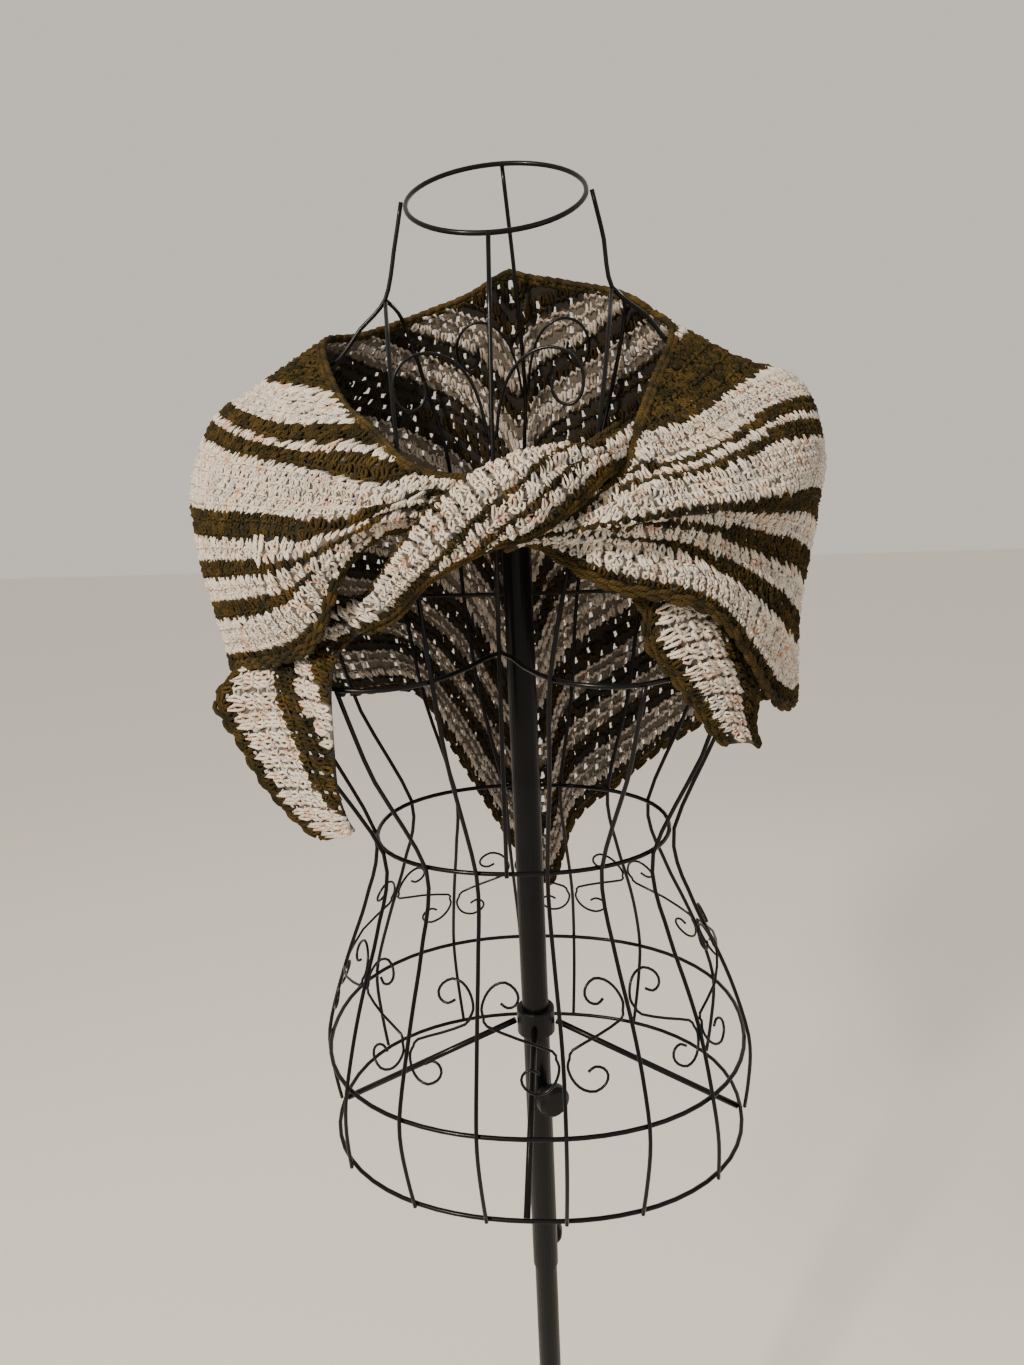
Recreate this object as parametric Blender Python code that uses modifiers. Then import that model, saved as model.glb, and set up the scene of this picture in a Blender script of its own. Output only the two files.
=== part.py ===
# Crocheted triangular shawlette, wrapped and tied once in front, on a wire dress form with a pole stand.
# Metres, +Z up. The form faces -Y, +X is the viewer's right, and the origin is under the pole on the floor.

import bpy
import bmesh
import math
import numpy as np

MM = 0.001

# Cloth
cloth_wall = 0.0036
seam = 0.0003
pleats = 5

# Wire form
ring_radius = 0.00165
upright_radius = 0.0015
scroll_radius = 0.0010
weld_gap = 0.0003
ring_inset = 0.5 * (ring_radius + upright_radius + weld_gap)
waist_height = 1.000
hip_height = 0.828
hem_height = 0.755
ring_power = 2.2
scroll_high = 0.912
scroll_low = 0.876

# Stand
base_radius = 0.160
base_rim = 0.005
base_crown = 0.014
socket_radius = 0.0165
socket_height = 0.048
pole_radius = 0.0094
pole_top = 0.850
tube_radius = 0.0105
tube_bore = 0.0097
tube_bottom = 0.5985
tube_top = 1.235
collar_radius = 0.0150
collar_bottom = 0.821
collar_top = 0.843
strut_radius = 0.0025
knob_radius = 0.013
knob_depth = 0.011
stem_radius = 0.003
boss_radius = 0.0065
boss_reach = 0.019

shawl_lines = ("neck", "shoulder", "crest", "arm", "fold", "skirt", "hem")

# One row for each station round the cloth, from the tie to the viewer's left, round the back, and to the tie
# again: the depth of its pleats, then the x, y, z of its seven lines in millimetres.
shawl_stations = [
    # name, pleat, neck, shoulder, crest, arm, fold, skirt, hem
    ("L11", 1.0, (74, -108, 1288), (75, -112, 1281), (75, -115, 1273), (75, -117, 1265), (73, -118, 1257), (70, -117, 1250), (67, -115, 1244)),
    ("L10", 1.0, (46, -133, 1274), (45, -139, 1268), (44, -142, 1261), (43, -143, 1254), (41, -143, 1248), (39, -141, 1242), (37, -137, 1236)),
    ("L9", 1.2, (10, -146, 1264), (7, -153, 1258), (4, -156, 1251), (1, -157, 1244), (-2, -156, 1237), (-4, -152, 1231), (-7, -146, 1225)),
    ("L8", 1.4, (-20, -163, 1266), (-25, -171, 1262), (-30, -175, 1258), (-36, -177, 1253), (-41, -176, 1248), (-46, -172, 1243), (-50, -164, 1238)),
    ("L7", 1.6, (-47, -152, 1274), (-58, -167, 1264), (-67, -176, 1255), (-75, -180, 1246), (-80, -181, 1237), (-83, -178, 1228), (-82, -170, 1217)),
    ("L6", 1.4, (-73, -112, 1292), (-102, -130, 1277), (-125, -140, 1259), (-138, -146, 1239), (-141, -149, 1218), (-134, -150, 1194), (-114, -148, 1170)),
    ("L5", 0.8, (-105, -60, 1313), (-146, -66, 1303), (-180, -72, 1281), (-198, -78, 1247), (-198, -80, 1213), (-191, -82, 1178), (-178, -83, 1146)),
    ("L4", 0.3, (-129, -2, 1351), (-172, 3, 1329), (-212, 6, 1304), (-228, 6, 1256), (-222, 4, 1212), (-214, 0, 1168), (-210, -6, 1127)),
    ("L3", 0.0, (-110, 34, 1358), (-143, 54, 1334), (-174, 70, 1300), (-193, 80, 1250), (-197, 86, 1195), (-189, 94, 1135), (-171, 102, 1080)),
    ("L2", 0.0, (-80, 60, 1368), (-98, 84, 1325), (-114, 100, 1280), (-125, 108, 1225), (-127, 113, 1170), (-118, 117, 1120), (-106, 119, 1077)),
    ("L1", 0.0, (-38, 72, 1382), (-46, 92, 1325), (-53, 105, 1265), (-58, 113, 1200), (-64, 117, 1140), (-70, 120, 1082), (-75, 120, 1028)),
    ("LA", 0.0, (-14, 74, 1394), (-18, 91, 1330), (-20, 103, 1267), (-22, 111, 1194), (-24, 116, 1118), (-27, 120, 1030), (-30, 124, 942)),
    ("S0", 0.0, (-3, 74, 1398), (-3, 90, 1335), (-2, 102, 1270), (-1, 110, 1190), (1, 115, 1100), (3, 121, 998), (5, 128, 893)),
    ("RA", 0.0, (10, 74, 1394), (13, 91, 1330), (17, 103, 1267), (20, 111, 1194), (23, 116, 1120), (26, 120, 1040), (30, 124, 956)),
    ("R1", 0.0, (48, 70, 1386), (50, 91, 1325), (56, 104, 1265), (62, 112, 1195), (66, 117, 1125), (69, 119, 1058), (71, 119, 994)),
    ("R2", 0.0, (80, 54, 1377), (95, 78, 1328), (110, 94, 1278), (120, 104, 1220), (123, 110, 1155), (122, 115, 1092), (119, 118, 1032)),
    ("R3", 0.0, (101, 26, 1362), (130, 46, 1335), (158, 60, 1300), (176, 72, 1250), (182, 82, 1190), (180, 90, 1126), (172, 100, 1066)),
    ("R4", 0.3, (112, -6, 1347), (152, 0, 1328), (196, 4, 1311), (211, 2, 1266), (207, 0, 1222), (194, -2, 1163), (195, -6, 1099)),
    ("R5", 0.8, (97, -62, 1314), (132, -70, 1299), (163, -76, 1278), (182, -80, 1250), (174, -70, 1214), (178, -78, 1163), (173, -74, 1112)),
    ("R6", 1.2, (86, -112, 1291), (104, -130, 1272), (119, -142, 1256), (128, -148, 1239), (121, -134, 1221), (127, -140, 1201), (127, -139, 1183)),
    ("R7", 1.4, (74, -146, 1264), (78, -162, 1257), (79, -173, 1249), (76, -178, 1240), (69, -163, 1228), (68, -162, 1216), (66, -157, 1204)),
    ("R8", 1.2, (47, -160, 1243), (45, -169, 1241), (42, -173, 1238), (38, -172, 1233), (34, -164, 1229), (30, -158, 1227), (26, -151, 1225)),
    ("R9", 1.0, (24, -162, 1244), (22, -168, 1240), (20, -171, 1237), (18, -171, 1233), (16, -167, 1229), (13, -162, 1226), (10, -156, 1224)),
]
left_seam = "L3"
right_seam = "R3"

# The end that crosses in front of the tie: from behind the right wing's neck edge, down to behind the left
# wing's hem, and on to its free point. Its five lines run from its upper left edge to its lower right edge.
end_lines = ("left", "left_inner", "middle", "right_inner", "right")
left_end_stations = [
    # name, pleat, left, left_inner, middle, right_inner, right
    ("B0", 0.4, (82, -110, 1291), (84, -113, 1286), (85, -114, 1280), (85, -114, 1273), (84, -112, 1266)),
    ("B1", 1.0, (63, -149, 1282), (65, -153, 1278), (67, -156, 1274), (68, -157, 1270), (68, -157, 1265)),
    ("B2", 1.4, (41, -167, 1282), (44, -176, 1277), (48, -182, 1269), (51, -183, 1260), (52, -179, 1251)),
    ("B3", 1.6, (16, -182, 1278), (21, -193, 1272), (26, -198, 1261), (29, -197, 1247), (28, -188, 1235)),
    ("B4", 1.6, (-9, -186, 1266), (-3, -196, 1261), (3, -200, 1251), (8, -198, 1240), (10, -189, 1231)),
    ("B5", 1.4, (-30, -185, 1250), (-25, -193, 1245), (-20, -196, 1237), (-15, -193, 1229), (-12, -186, 1222)),
    ("B6", 1.2, (-50, -173, 1229), (-46, -182, 1226), (-42, -185, 1220), (-38, -183, 1214), (-34, -176, 1209)),
    ("B7", 0.8, (-74, -150, 1203), (-71, -156, 1201), (-67, -159, 1197), (-62, -159, 1192), (-57, -157, 1188)),
    ("B8", 0.4, (-98, -138, 1193), (-95, -143, 1190), (-91, -146, 1186), (-86, -148, 1181), (-81, -148, 1176)),
    ("A1", 0.3, (-135, -104, 1180), (-127, -114, 1180), (-117, -124, 1178), (-106, -134, 1174), (-93, -143, 1168)),
    ("A2", 0.2, (-170, -70, 1160), (-157, -84, 1163), (-141, -101, 1164), (-120, -127, 1164), (-98, -145, 1160)),
    ("A3", 0.2, (-179, -73, 1146), (-166, -86, 1150), (-147, -103, 1151), (-122, -130, 1151), (-101, -147, 1148)),
    ("A4", 0.2, (-191, -94, 1126), (-174, -96, 1130), (-151, -107, 1133), (-124, -132, 1135), (-102, -149, 1134)),
    ("A5", 0.3, (-177, -103, 1100), (-162, -108, 1103), (-143, -118, 1106), (-121, -137, 1107), (-103, -147, 1107)),
    ("A6", 0.3, (-160, -110, 1071), (-149, -115, 1074), (-135, -124, 1077), (-118, -136, 1078), (-104, -143, 1078)),
    ("A7", 0.3, (-141, -114, 1048), (-134, -119, 1051), (-124, -126, 1054), (-112, -134, 1056), (-101, -138, 1057)),
    ("A8", 0.0, (-124, -118, 1035), (-119, -121, 1037), (-112, -125, 1039), (-105, -129, 1042), (-98, -131, 1045)),
]

# The other free end, from behind the tie down to its point on the viewer's right.
right_tail_stations = [
    # name, pleat, left, left_inner, middle, right_inner, right
    ("C0", 0.3, (37, -151, 1223), (39, -153, 1226), (41, -154, 1229), (44, -154, 1232), (47, -152, 1235)),
    ("C1", 0.4, (64, -144, 1207), (71, -146, 1212), (79, -144, 1216), (88, -139, 1219), (97, -132, 1220)),
    ("C2", 0.4, (86, -141, 1190), (96, -139, 1194), (108, -131, 1197), (124, -118, 1197), (140, -103, 1192)),
    ("C3", 0.4, (90, -138, 1166), (101, -138, 1172), (116, -130, 1174), (132, -116, 1172), (147, -99, 1164)),
    ("C4", 0.4, (101, -133, 1149), (111, -134, 1154), (124, -126, 1156), (138, -111, 1151), (152, -95, 1142)),
    ("C5", 0.3, (114, -125, 1130), (122, -125, 1134), (132, -118, 1135), (145, -106, 1131), (157, -91, 1121)),
    ("C6", 0.2, (126, -115, 1109), (132, -116, 1113), (139, -111, 1114), (148, -100, 1111), (156, -88, 1101)),
    ("C7", 0.0, (139, -103, 1091), (144, -104, 1092), (149, -102, 1092), (155, -97, 1090), (160, -90, 1085)),
]

# Level rings of the form: half-width, half-depth and centre, in metres.
rings = {
    "waist": {"z": waist_height, "wide": 0.1105, "deep": 0.0886, "x": -0.003, "y": -0.0076},
    "hip": {"z": hip_height, "wide": 0.1640, "deep": 0.1420, "x": 0.0, "y": 0.002},
    "hem": {"z": hem_height, "wide": 0.1630, "deep": 0.1310, "x": 0.0, "y": 0.0},
}

# In-between levels that the uprights pass through: half-width and half-depth.
form_levels = [
    {"z": 1.000, "wide": 0.1105, "deep": 0.0886, "x": -0.003, "y": -0.0076},
    {"z": 0.945, "wide": 0.1210, "deep": 0.1010, "x": -0.002, "y": -0.003},
    {"z": 0.885, "wide": 0.1470, "deep": 0.1250, "x": 0.0, "y": 0.0},
    {"z": 0.828, "wide": 0.1640, "deep": 0.1420, "x": 0.0, "y": 0.002},
    {"z": 0.790, "wide": 0.1655, "deep": 0.1385, "x": 0.0, "y": 0.001},
    {"z": 0.755, "wide": 0.1630, "deep": 0.1310, "x": 0.0, "y": 0.0},
]

# Uprights: degrees from the front at waist, hip and hem, and where they cross the bust ring.
bust_centre_x = -0.007
uprights = [
    # name, waist, hip, hem, bust x, bust y
    ("princess", 15, 12, 12, 0.0360, -0.1270),
    ("side_front", 37, 34, 34, 0.0925, -0.1390),
    ("front_side", 61, 54, 59, 0.1500, -0.0850),
    ("side", 86, 85, 90, 0.1680, -0.0100),
    ("back_side", 119, 117, 118, 0.1500, 0.0500),
    ("back_outer", 141, 146, 146.5, 0.0960, 0.0880),
    ("back_inner", 165, 170, 170, 0.0460, 0.0900),
]
bust_front = (0.0, -0.070)
bust_back = (0.0, 0.090)

# Neck ring: a tilted circle
neck_radius = 0.0585
neck_centre = (-0.003, -0.011, 1.435)
neck_tilt = math.radians(31)

# Where the wires of each side meet beside the neck
junction = {-1: (-0.0800, -0.010, 1.376), 1: (0.0707, -0.010, 1.376)}


def shade(name, colour, roughness, metallic):
    material = bpy.data.materials.new(name)
    material.use_nodes = True
    shader = material.node_tree.nodes["Principled BSDF"]
    shader.inputs["Base Color"].default_value = (*colour, 1)
    shader.inputs["Roughness"].default_value = roughness
    shader.inputs["Metallic"].default_value = metallic
    material.diffuse_color = (*colour, 1)
    return material


def add_object(name, mesh, material):
    obj = bpy.data.objects.new(name, mesh)
    mesh.materials.clear()
    mesh.materials.append(material)
    parts.objects.link(obj)
    return obj


def spline(points, at):
    """Smooth curve through the points, read at parameters from 0 to their count less one."""
    points = np.asarray(points, float)
    ends = [2 * points[0] - points[1], 2 * points[-1] - points[-2]]
    held = np.concatenate([ends[0][None], points, ends[1][None]])
    at = np.clip(np.asarray(at, float), 0, len(points) - 1)
    start = np.minimum(at.astype(int), len(points) - 2)
    f = (at - start).reshape((-1,) + (1,) * (points.ndim - 1))
    a, b, c, d = held[start], held[start + 1], held[start + 2], held[start + 3]
    cubic = 3 * b - a - 3 * c + d
    return 0.5 * (2 * b + (c - a) * f + (2 * a - 5 * b + 4 * c - d) * f ** 2 + cubic * f ** 3)


def unit(vectors):
    return vectors / np.maximum(np.linalg.norm(vectors, axis=-1, keepdims=True), 1e-9)


def cloth_grid(stations, along, across):
    """Points of the outer face: stations splined along, each section sampled evenly by length and pleated."""
    plain = section_grid(stations, along, across)
    depth = spline([[row[1]] for row in stations], along)[:, 0] * MM
    v = np.linspace(0, 1, across)
    wave = -np.cos(2 * math.pi * pleats * v) * np.sin(math.pi * v) ** 0.5
    return plain + outward(stations, along, across) * (depth[:, None] * wave[None, :])[..., None]


def section_grid(stations, along, across):
    lines = spline([[p for p in row[2:]] for row in stations], along) * MM
    grid = np.empty((len(along), across, 3))
    for i, section in enumerate(lines):
        fine = spline(section, np.linspace(0, len(section) - 1, 64))
        run = np.concatenate([[0], np.cumsum(np.linalg.norm(np.diff(fine, axis=0), axis=1))])
        want = np.linspace(0, run[-1], across)
        grid[i] = np.stack([np.interp(want, run, fine[:, k]) for k in range(3)], axis=1)
    return grid


def outward(stations, along, across):
    """The cloth's outward directions, from the stations on both sides, so pieces that meet share them."""
    last = len(stations) - 1
    ahead = section_grid(stations, np.clip(along + 0.35, 0, last), across)
    behind = section_grid(stations, np.clip(along - 0.35, 0, last), across)
    here = section_grid(stations, along, across)
    return unit(np.cross(ahead - behind, np.gradient(here, axis=1)))


def wall(name, stations, along, across, material):
    """A closed wall: the outer face, the same points moved in by the cloth's thickness, and a rim between."""
    outer = cloth_grid(stations, along, across)
    inner = outer - outward(stations, along, across) * cloth_wall
    rows, columns = outer.shape[:2]
    index = np.arange(rows * columns).reshape(rows, columns)
    a, b = index[:-1, :-1].ravel(), index[1:, :-1].ravel()
    c, d = index[1:, 1:].ravel(), index[:-1, 1:].ravel()
    faces = np.stack([a, b, c, d], axis=1).tolist()
    shift = rows * columns
    faces += (np.stack([d, c, b, a], axis=1) + shift).tolist()
    rim = np.concatenate([index[0, :-1], index[:-1, -1], index[-1, :0:-1], index[:0:-1, 0]])
    following = np.roll(rim, -1)
    faces += np.stack([rim, following, following + shift, rim + shift], axis=1).tolist()
    mesh = bpy.data.meshes.new(name)
    mesh.from_pydata(np.concatenate([outer.reshape(-1, 3), inner.reshape(-1, 3)]).tolist(), [], faces)
    mesh.validate()
    mesh.shade_smooth()
    return add_object(name, mesh, material)


def between(stations, first, last, steps, trim_first, trim_last):
    """Parameters from one named station to another, held back by half a seam at an end that meets a piece."""
    names = [row[0] for row in stations]
    start, end = names.index(first), names.index(last)
    lines = np.array([row[2:] for row in stations], float) * MM
    spacing = np.linalg.norm(np.diff(lines, axis=0), axis=2).min(axis=1)
    at = np.linspace(start, end, steps * (end - start) + 1)
    if trim_first:
        at[0] += 0.5 * seam / spacing[start]
    if trim_last:
        at[-1] -= 0.5 * seam / spacing[end - 1]
    return at


def ring_point(level, degrees, grow=0.0):
    """A point of a level ring: a slightly squared ellipse, grown outwards by a distance."""
    turn = math.radians(degrees)
    s, c = math.sin(turn), -math.cos(turn)
    wide, deep = level["wide"] + grow, level["deep"] + grow
    reach = (abs(s / wide) ** ring_power + abs(c / deep) ** ring_power) ** (-1 / ring_power)
    return np.array([level["x"] + reach * s, level["y"] + reach * c, level["z"]])


def form_point(degrees, z, grow=0.0):
    """A point on the form's surface below the waist, at an angle from the front and a height."""
    heights = [level["z"] for level in form_levels][::-1]
    level = {"z": z}
    for key in ("wide", "deep", "x", "y"):
        level[key] = float(np.interp(z, heights, [row[key] for row in form_levels][::-1]))
    return ring_point(level, degrees, grow)


def bust_height(y):
    return 1.14 + 0.02 * (y + 0.139) / 0.229


def bust_point(x, y):
    return np.array([bust_centre_x + x, y, bust_height(y)])


def wire(name, points, radius, material, closed=False, sides=4):
    """A round wire through the points, as a closed mesh."""
    curve = bpy.data.curves.new(name, "CURVE")
    curve.dimensions = "3D"
    curve.bevel_depth = radius
    curve.bevel_resolution = (sides - 4) // 2
    curve.use_fill_caps = True
    line = curve.splines.new("POLY")
    line.points.add(len(points) - 1)
    line.points.foreach_set("co", np.column_stack([points, np.ones(len(points))]).ravel())
    line.use_cyclic_u = closed
    guide = bpy.data.objects.new(name, curve)
    parts.objects.link(guide)
    bpy.context.view_layer.update()
    graph = bpy.context.evaluated_depsgraph_get()
    mesh = bpy.data.meshes.new_from_object(guide.evaluated_get(graph))
    bpy.data.objects.remove(guide)
    weld(mesh)
    mesh.shade_smooth()
    return add_object(name, mesh, material)


def weld(mesh):
    body = bmesh.new()
    body.from_mesh(mesh)
    bmesh.ops.remove_doubles(body, verts=body.verts, dist=1e-6)
    bmesh.ops.recalc_face_normals(body, faces=body.faces)
    body.to_mesh(mesh)
    body.free()


def turned(name, profile, steps, material):
    """A shape turned about +Z from a profile of (radius, height) pairs that runs down its outer side."""
    mesh = bpy.data.meshes.new(name)
    rows = [(r, 0, z) for r, z in profile]
    mesh.from_pydata(rows, [(i, i + 1) for i in range(len(rows) - 1)], [])
    obj = add_object(name, mesh, material)
    screw = obj.modifiers.new("turn", "SCREW")
    screw.steps = steps
    screw.render_steps = steps
    screw.use_merge_vertices = True
    screw.merge_threshold = 0.0001
    return obj


# Clears the scene
for old in list(bpy.data.objects):
    bpy.data.objects.remove(old)
parts = bpy.data.collections.new("shawlette_on_wire_form")
bpy.context.scene.collection.children.link(parts)
helpers = bpy.data.collections.new("cutters")
bpy.context.scene.collection.children.link(helpers)

yarn = shade("crochet_cotton", (0.30, 0.24, 0.15), 0.9, 0)
wire_black = shade("black_wire", (0.012, 0.012, 0.013), 0.35, 0.6)
tube_black = shade("black_tube", (0.014, 0.014, 0.015), 0.30, 0.6)
knob_black = shade("black_knob", (0.020, 0.020, 0.020), 0.55, 0)

# The shawl
names = [row[0] for row in shawl_stations]
wall("shawl_back", shawl_stations, between(shawl_stations, left_seam, right_seam, 2, True, True), 15, yarn)
wall("shawl_left_wing", shawl_stations, between(shawl_stations, "L11", left_seam, 2, True, True), 15, yarn)
wall("shawl_right_wing", shawl_stations, between(shawl_stations, right_seam, "R9", 2, True, False), 15, yarn)
wall("shawl_over_band", left_end_stations, between(left_end_stations, "B0", "B8", 2, False, True), 11, yarn)
wall("shawl_left_tail", left_end_stations, between(left_end_stations, "B8", "A8", 2, True, False), 11, yarn)
wall("shawl_right_tail", right_tail_stations, between(right_tail_stations, "C0", "C7", 2, False, False), 9, yarn)

# Rings of the form
for name, level in rings.items():
    points = [ring_point(level, 360 * i / 32, -ring_inset) for i in range(32)]
    wire("ring_" + name, points, ring_radius, wire_black, closed=True, sides=6)

half = [bust_front] + [(x, y) for _, _, _, _, x, y in uprights]
around = half + [bust_back] + [(-x, y) for x, y in half[:0:-1]]
control = np.array([bust_point(x, y) for x, y in around])
run = unit(np.roll(control, -1, axis=0) - np.roll(control, 1, axis=0))
control[:, 0] -= 2 * ring_inset * run[:, 1]
control[:, 1] += 2 * ring_inset * run[:, 0]
points = spline(np.vstack([control, control[:1]]), np.linspace(0, len(control), 2 * len(control) + 1)[:-1])
wire("ring_bust", points, ring_radius, wire_black, closed=True, sides=6)

turns = np.radians(360 * np.arange(28) / 28)
neck = np.stack([np.sin(turns), -np.cos(turns) * math.cos(neck_tilt), -np.cos(turns) * math.sin(neck_tilt)], axis=1)
neck_points = np.array(neck_centre) + neck_radius * neck
wire("ring_neck", neck_points, ring_radius, wire_black, closed=True, sides=6)

# Uprights: hem to bust ring, and for three of each side on to the junction beside the neck
above = {
    ("princess", -1): [(-0.060, -0.100, 1.275)],
    ("princess", 1): [(0.042, -0.130, 1.208), (0.061, -0.100, 1.2865)],
    ("back_inner", -1): [(-0.057, 0.080, 1.261), (-0.069, 0.080, 1.313), (-0.080, 0.050, 1.367)],
    ("back_inner", 1): [(0.057, 0.080, 1.261), (0.069, 0.080, 1.313), (0.080, 0.050, 1.367)],
}
shoulder_seat = {-1: ("L4", 4), 1: ("R4", 4)}
shoulder_bend = {
    -1: [(-0.1195, -0.010, 1.336), (-0.0985, -0.010, 1.358)],
    1: [(0.1120, -0.010, 1.3345), (0.0930, -0.010, 1.357)],
}
stop_short = 2 * upright_radius + weld_gap


def under_cloth(station, column, across=41):
    """Where a wire's middle lies when it carries the shawl at a point of one station."""
    at = np.array([[row[0] for row in shawl_stations].index(station)], float)
    outer = cloth_grid(shawl_stations, at, across)[0, column]
    out = outward(shawl_stations, at, across)[0, column]
    return outer - out * (cloth_wall + upright_radius + 2 * seam)


def upright_path(name, at_waist, at_hip, at_hem, x, y, side):
    """Control points of one upright, from the hem ring up."""
    grow = ring_inset
    path = []
    for z in (hem_height, 0.790, hip_height, scroll_low, scroll_high, 0.950, waist_height):
        degrees = np.interp(z, (hem_height, hip_height, waist_height), (at_hem, at_hip, at_waist))
        path.append(form_point(side * degrees, z, grow))
    bust = bust_point(side * x, y)
    middle = 0.38 * path[-1] + 0.62 * bust
    middle[2] = 1.075
    path += [middle, bust]
    return path


for name, at_waist, at_hip, at_hem, x, y in uprights:
    for side in (-1, 1):
        path = upright_path(name, at_waist, at_hip, at_hem, x, y, side)
        if name == "side":
            seat = under_cloth(*shoulder_seat[side])
            path += [(side * 0.172, -0.010, 1.215), (seat[0] + side * 0.017, seat[1], seat[2] - 0.022), tuple(seat)]
            path += shoulder_bend[side] + [junction[side]]
            ring_side = np.array(neck_centre) + (side * (neck_radius + 2 * ring_inset), 0, 0)
            path += [(side * 0.072 if side < 0 else 0.066, -0.0105, 1.405), tuple(ring_side)]
        elif (name, side) in above:
            path += above[(name, side)]
            last = np.array(path[-1])
            towards = np.array(junction[side]) - last
            length = np.linalg.norm(towards)
            path.append(tuple(last + towards * (length - stop_short) / length))
        steps = len(path) * 2 - 1
        points = spline(path, np.linspace(0, len(path) - 1, steps))
        label = "upright_" + name + ("_left" if side < 0 else "_right")
        wire(label, points, upright_radius, wire_black)

# Centre wires
front_of_neck = neck_points[0]
front_path = [
    (front_of_neck[0], front_of_neck[1] - 2 * ring_inset, front_of_neck[2]),
    (-0.004, -0.0850, 1.285),
    (-0.004, -0.0900, 1.216),
    (bust_centre_x, bust_front[1] - 0.0060, bust_height(bust_front[1])),
    (-0.006, -0.0970 - 2 * ring_inset, 1.000),
]
wire("centre_front", spline(front_path, np.linspace(0, 4, 13)), upright_radius, wire_black)
back_of_neck = neck_points[14]
back_path = [
    (back_of_neck[0], back_of_neck[1] + 2 * ring_inset, back_of_neck[2]),
    (0.0015, 0.060, 1.393),
    (0.0045, 0.075, 1.318),
    (0.0010, bust_back[1] + 0.0003, 1.275),
    (bust_centre_x, bust_back[1] + 0.0003, bust_height(bust_back[1])),
]
wire("centre_back", spline(back_path, np.linspace(0, 4, 11)), upright_radius, wire_black)

# Scroll ornaments round the hips: one S between each two uprights, from a high node to a low one. The curl's
# points run from its node out along the S's own side and up, in millimetres.
curl = [(8, -13), (2, -6), (0, 0), (2, 7), (7, 14), (16, 17), (24, 12), (25, 5), (19, 1), (13, 4)]


def degrees_per_mm(degrees, z):
    return MM / np.linalg.norm(form_point(degrees + 0.5, z) - form_point(degrees - 0.5, z))


def s_scroll(name, high_degrees, low_degrees, material):
    """An S between two uprights, as offsets from its two nodes laid round the form."""
    start = (upright_radius + scroll_radius + weld_gap) / MM
    way = 1 if low_degrees > high_degrees else -1
    at_high = way * degrees_per_mm(high_degrees, scroll_high)
    at_low = -way * degrees_per_mm(low_degrees, scroll_low)
    upper = [(high_degrees + at_high * (start + out), scroll_high + up * MM) for out, up in curl[::-1]]
    lower = [(low_degrees + at_low * (start + out), scroll_low - up * MM) for out, up in curl]
    path = np.array(upper + lower)
    flat = spline(path, np.linspace(0, len(path) - 1, 25))
    points = [form_point(degrees, z, ring_inset) for degrees, z in flat]
    wire(name, points, scroll_radius, material)


def node_degrees(row, z):
    _, at_waist, at_hip, at_hem, _, _ = row
    return float(np.interp(z, (hem_height, hip_height, waist_height), (at_hem, at_hip, at_waist)))


circle = [(row, 1) for row in uprights] + [(row, -1) for row in uprights[::-1]]
for i, (row, side) in enumerate(circle):
    following, other = circle[(i + 1) % len(circle)]
    low_first = i % 2 == 0
    heights = (scroll_low, scroll_high) if low_first else (scroll_high, scroll_low)
    here = side * node_degrees(row, heights[0])
    there = other * node_degrees(following, heights[1])
    if side > 0 > other and following[0] == "back_inner":
        there += 360
    if low_first:
        s_scroll(f"hip_scroll_{i + 1:02d}", there, here, wire_black)
    else:
        s_scroll(f"hip_scroll_{i + 1:02d}", here, there, wire_black)

# Chest and upper back scrolls: a C each side of the centre wire, in x and z millimetres
chest_curl = [(2.8, 1283), (5, 1300), (11, 1318), (21, 1330), (34, 1335), (46, 1333), (54, 1326), (57, 1317), (55, 1307)]
chest_curl += [(49, 1302), (42, 1304), (38, 1311), (39, 1319)]
chest_places = [
    {"name": "chest", "facing": -1, "x": -4.0, "spread": 1.0, "y": 0.0852, "rise": 0.0},
    {"name": "upper_back", "facing": 1, "x": 4.5, "spread": 0.86, "y": 0.0756, "rise": 0.030},
]
for place in chest_places:
    for side in (-1, 1):
        path = []
        for out, z in chest_curl:
            x = (place["x"] + side * place["spread"] * out) * MM
            rise = z * MM - 1.283
            lean = 0.2 * out * MM if place["facing"] < 0 else -0.25 * rise
            path.append((x, place["facing"] * (place["y"] + lean), 1.283 + rise + place["rise"]))
        points = spline(path, np.linspace(0, len(path) - 1, 2 * len(path) - 1))
        wire(place["name"] + ("_scroll_left" if side < 0 else "_scroll_right"), points, scroll_radius, wire_black)

# Stand: a round base with a socket for the lower pole, and a tube that slides on it and carries the form
base_profile = [
    (socket_radius - 0.0045, socket_height), (socket_radius, socket_height - 0.0045), (socket_radius, base_crown + 0.004),
    (socket_radius + 0.006, base_crown), (0.080, base_crown - 0.002), (base_radius - 0.012, base_rim + 0.003),
    (base_radius - 0.003, base_rim), (base_radius, base_rim - 0.003), (base_radius, 0.0), (0.0, 0.0),
]
socket_bore = pole_radius + 0.0003
base_profile = [(socket_bore, 0.012), (socket_bore, socket_height)] + base_profile
base_profile = [(0.0, 0.012)] + base_profile
turned("base", base_profile, 32, tube_black)

pole_foot = 0.0123
pole_profile = [
    (0.0, pole_top), (pole_radius - 0.001, pole_top), (pole_radius, pole_top - 0.001),
    (pole_radius, pole_foot + 0.001), (pole_radius - 0.001, pole_foot), (0.0, pole_foot),
]
turned("lower_pole", pole_profile, 24, tube_black)

tube_profile = [
    (0.0, tube_top - 0.002), (tube_bore, tube_top - 0.002), (tube_bore, tube_bottom), (tube_radius, tube_bottom),
    (tube_radius, tube_top - 0.002), (tube_radius - 0.002, tube_top), (0.0, tube_top),
]
turned("upper_tube", tube_profile[::-1], 24, tube_black)

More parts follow.
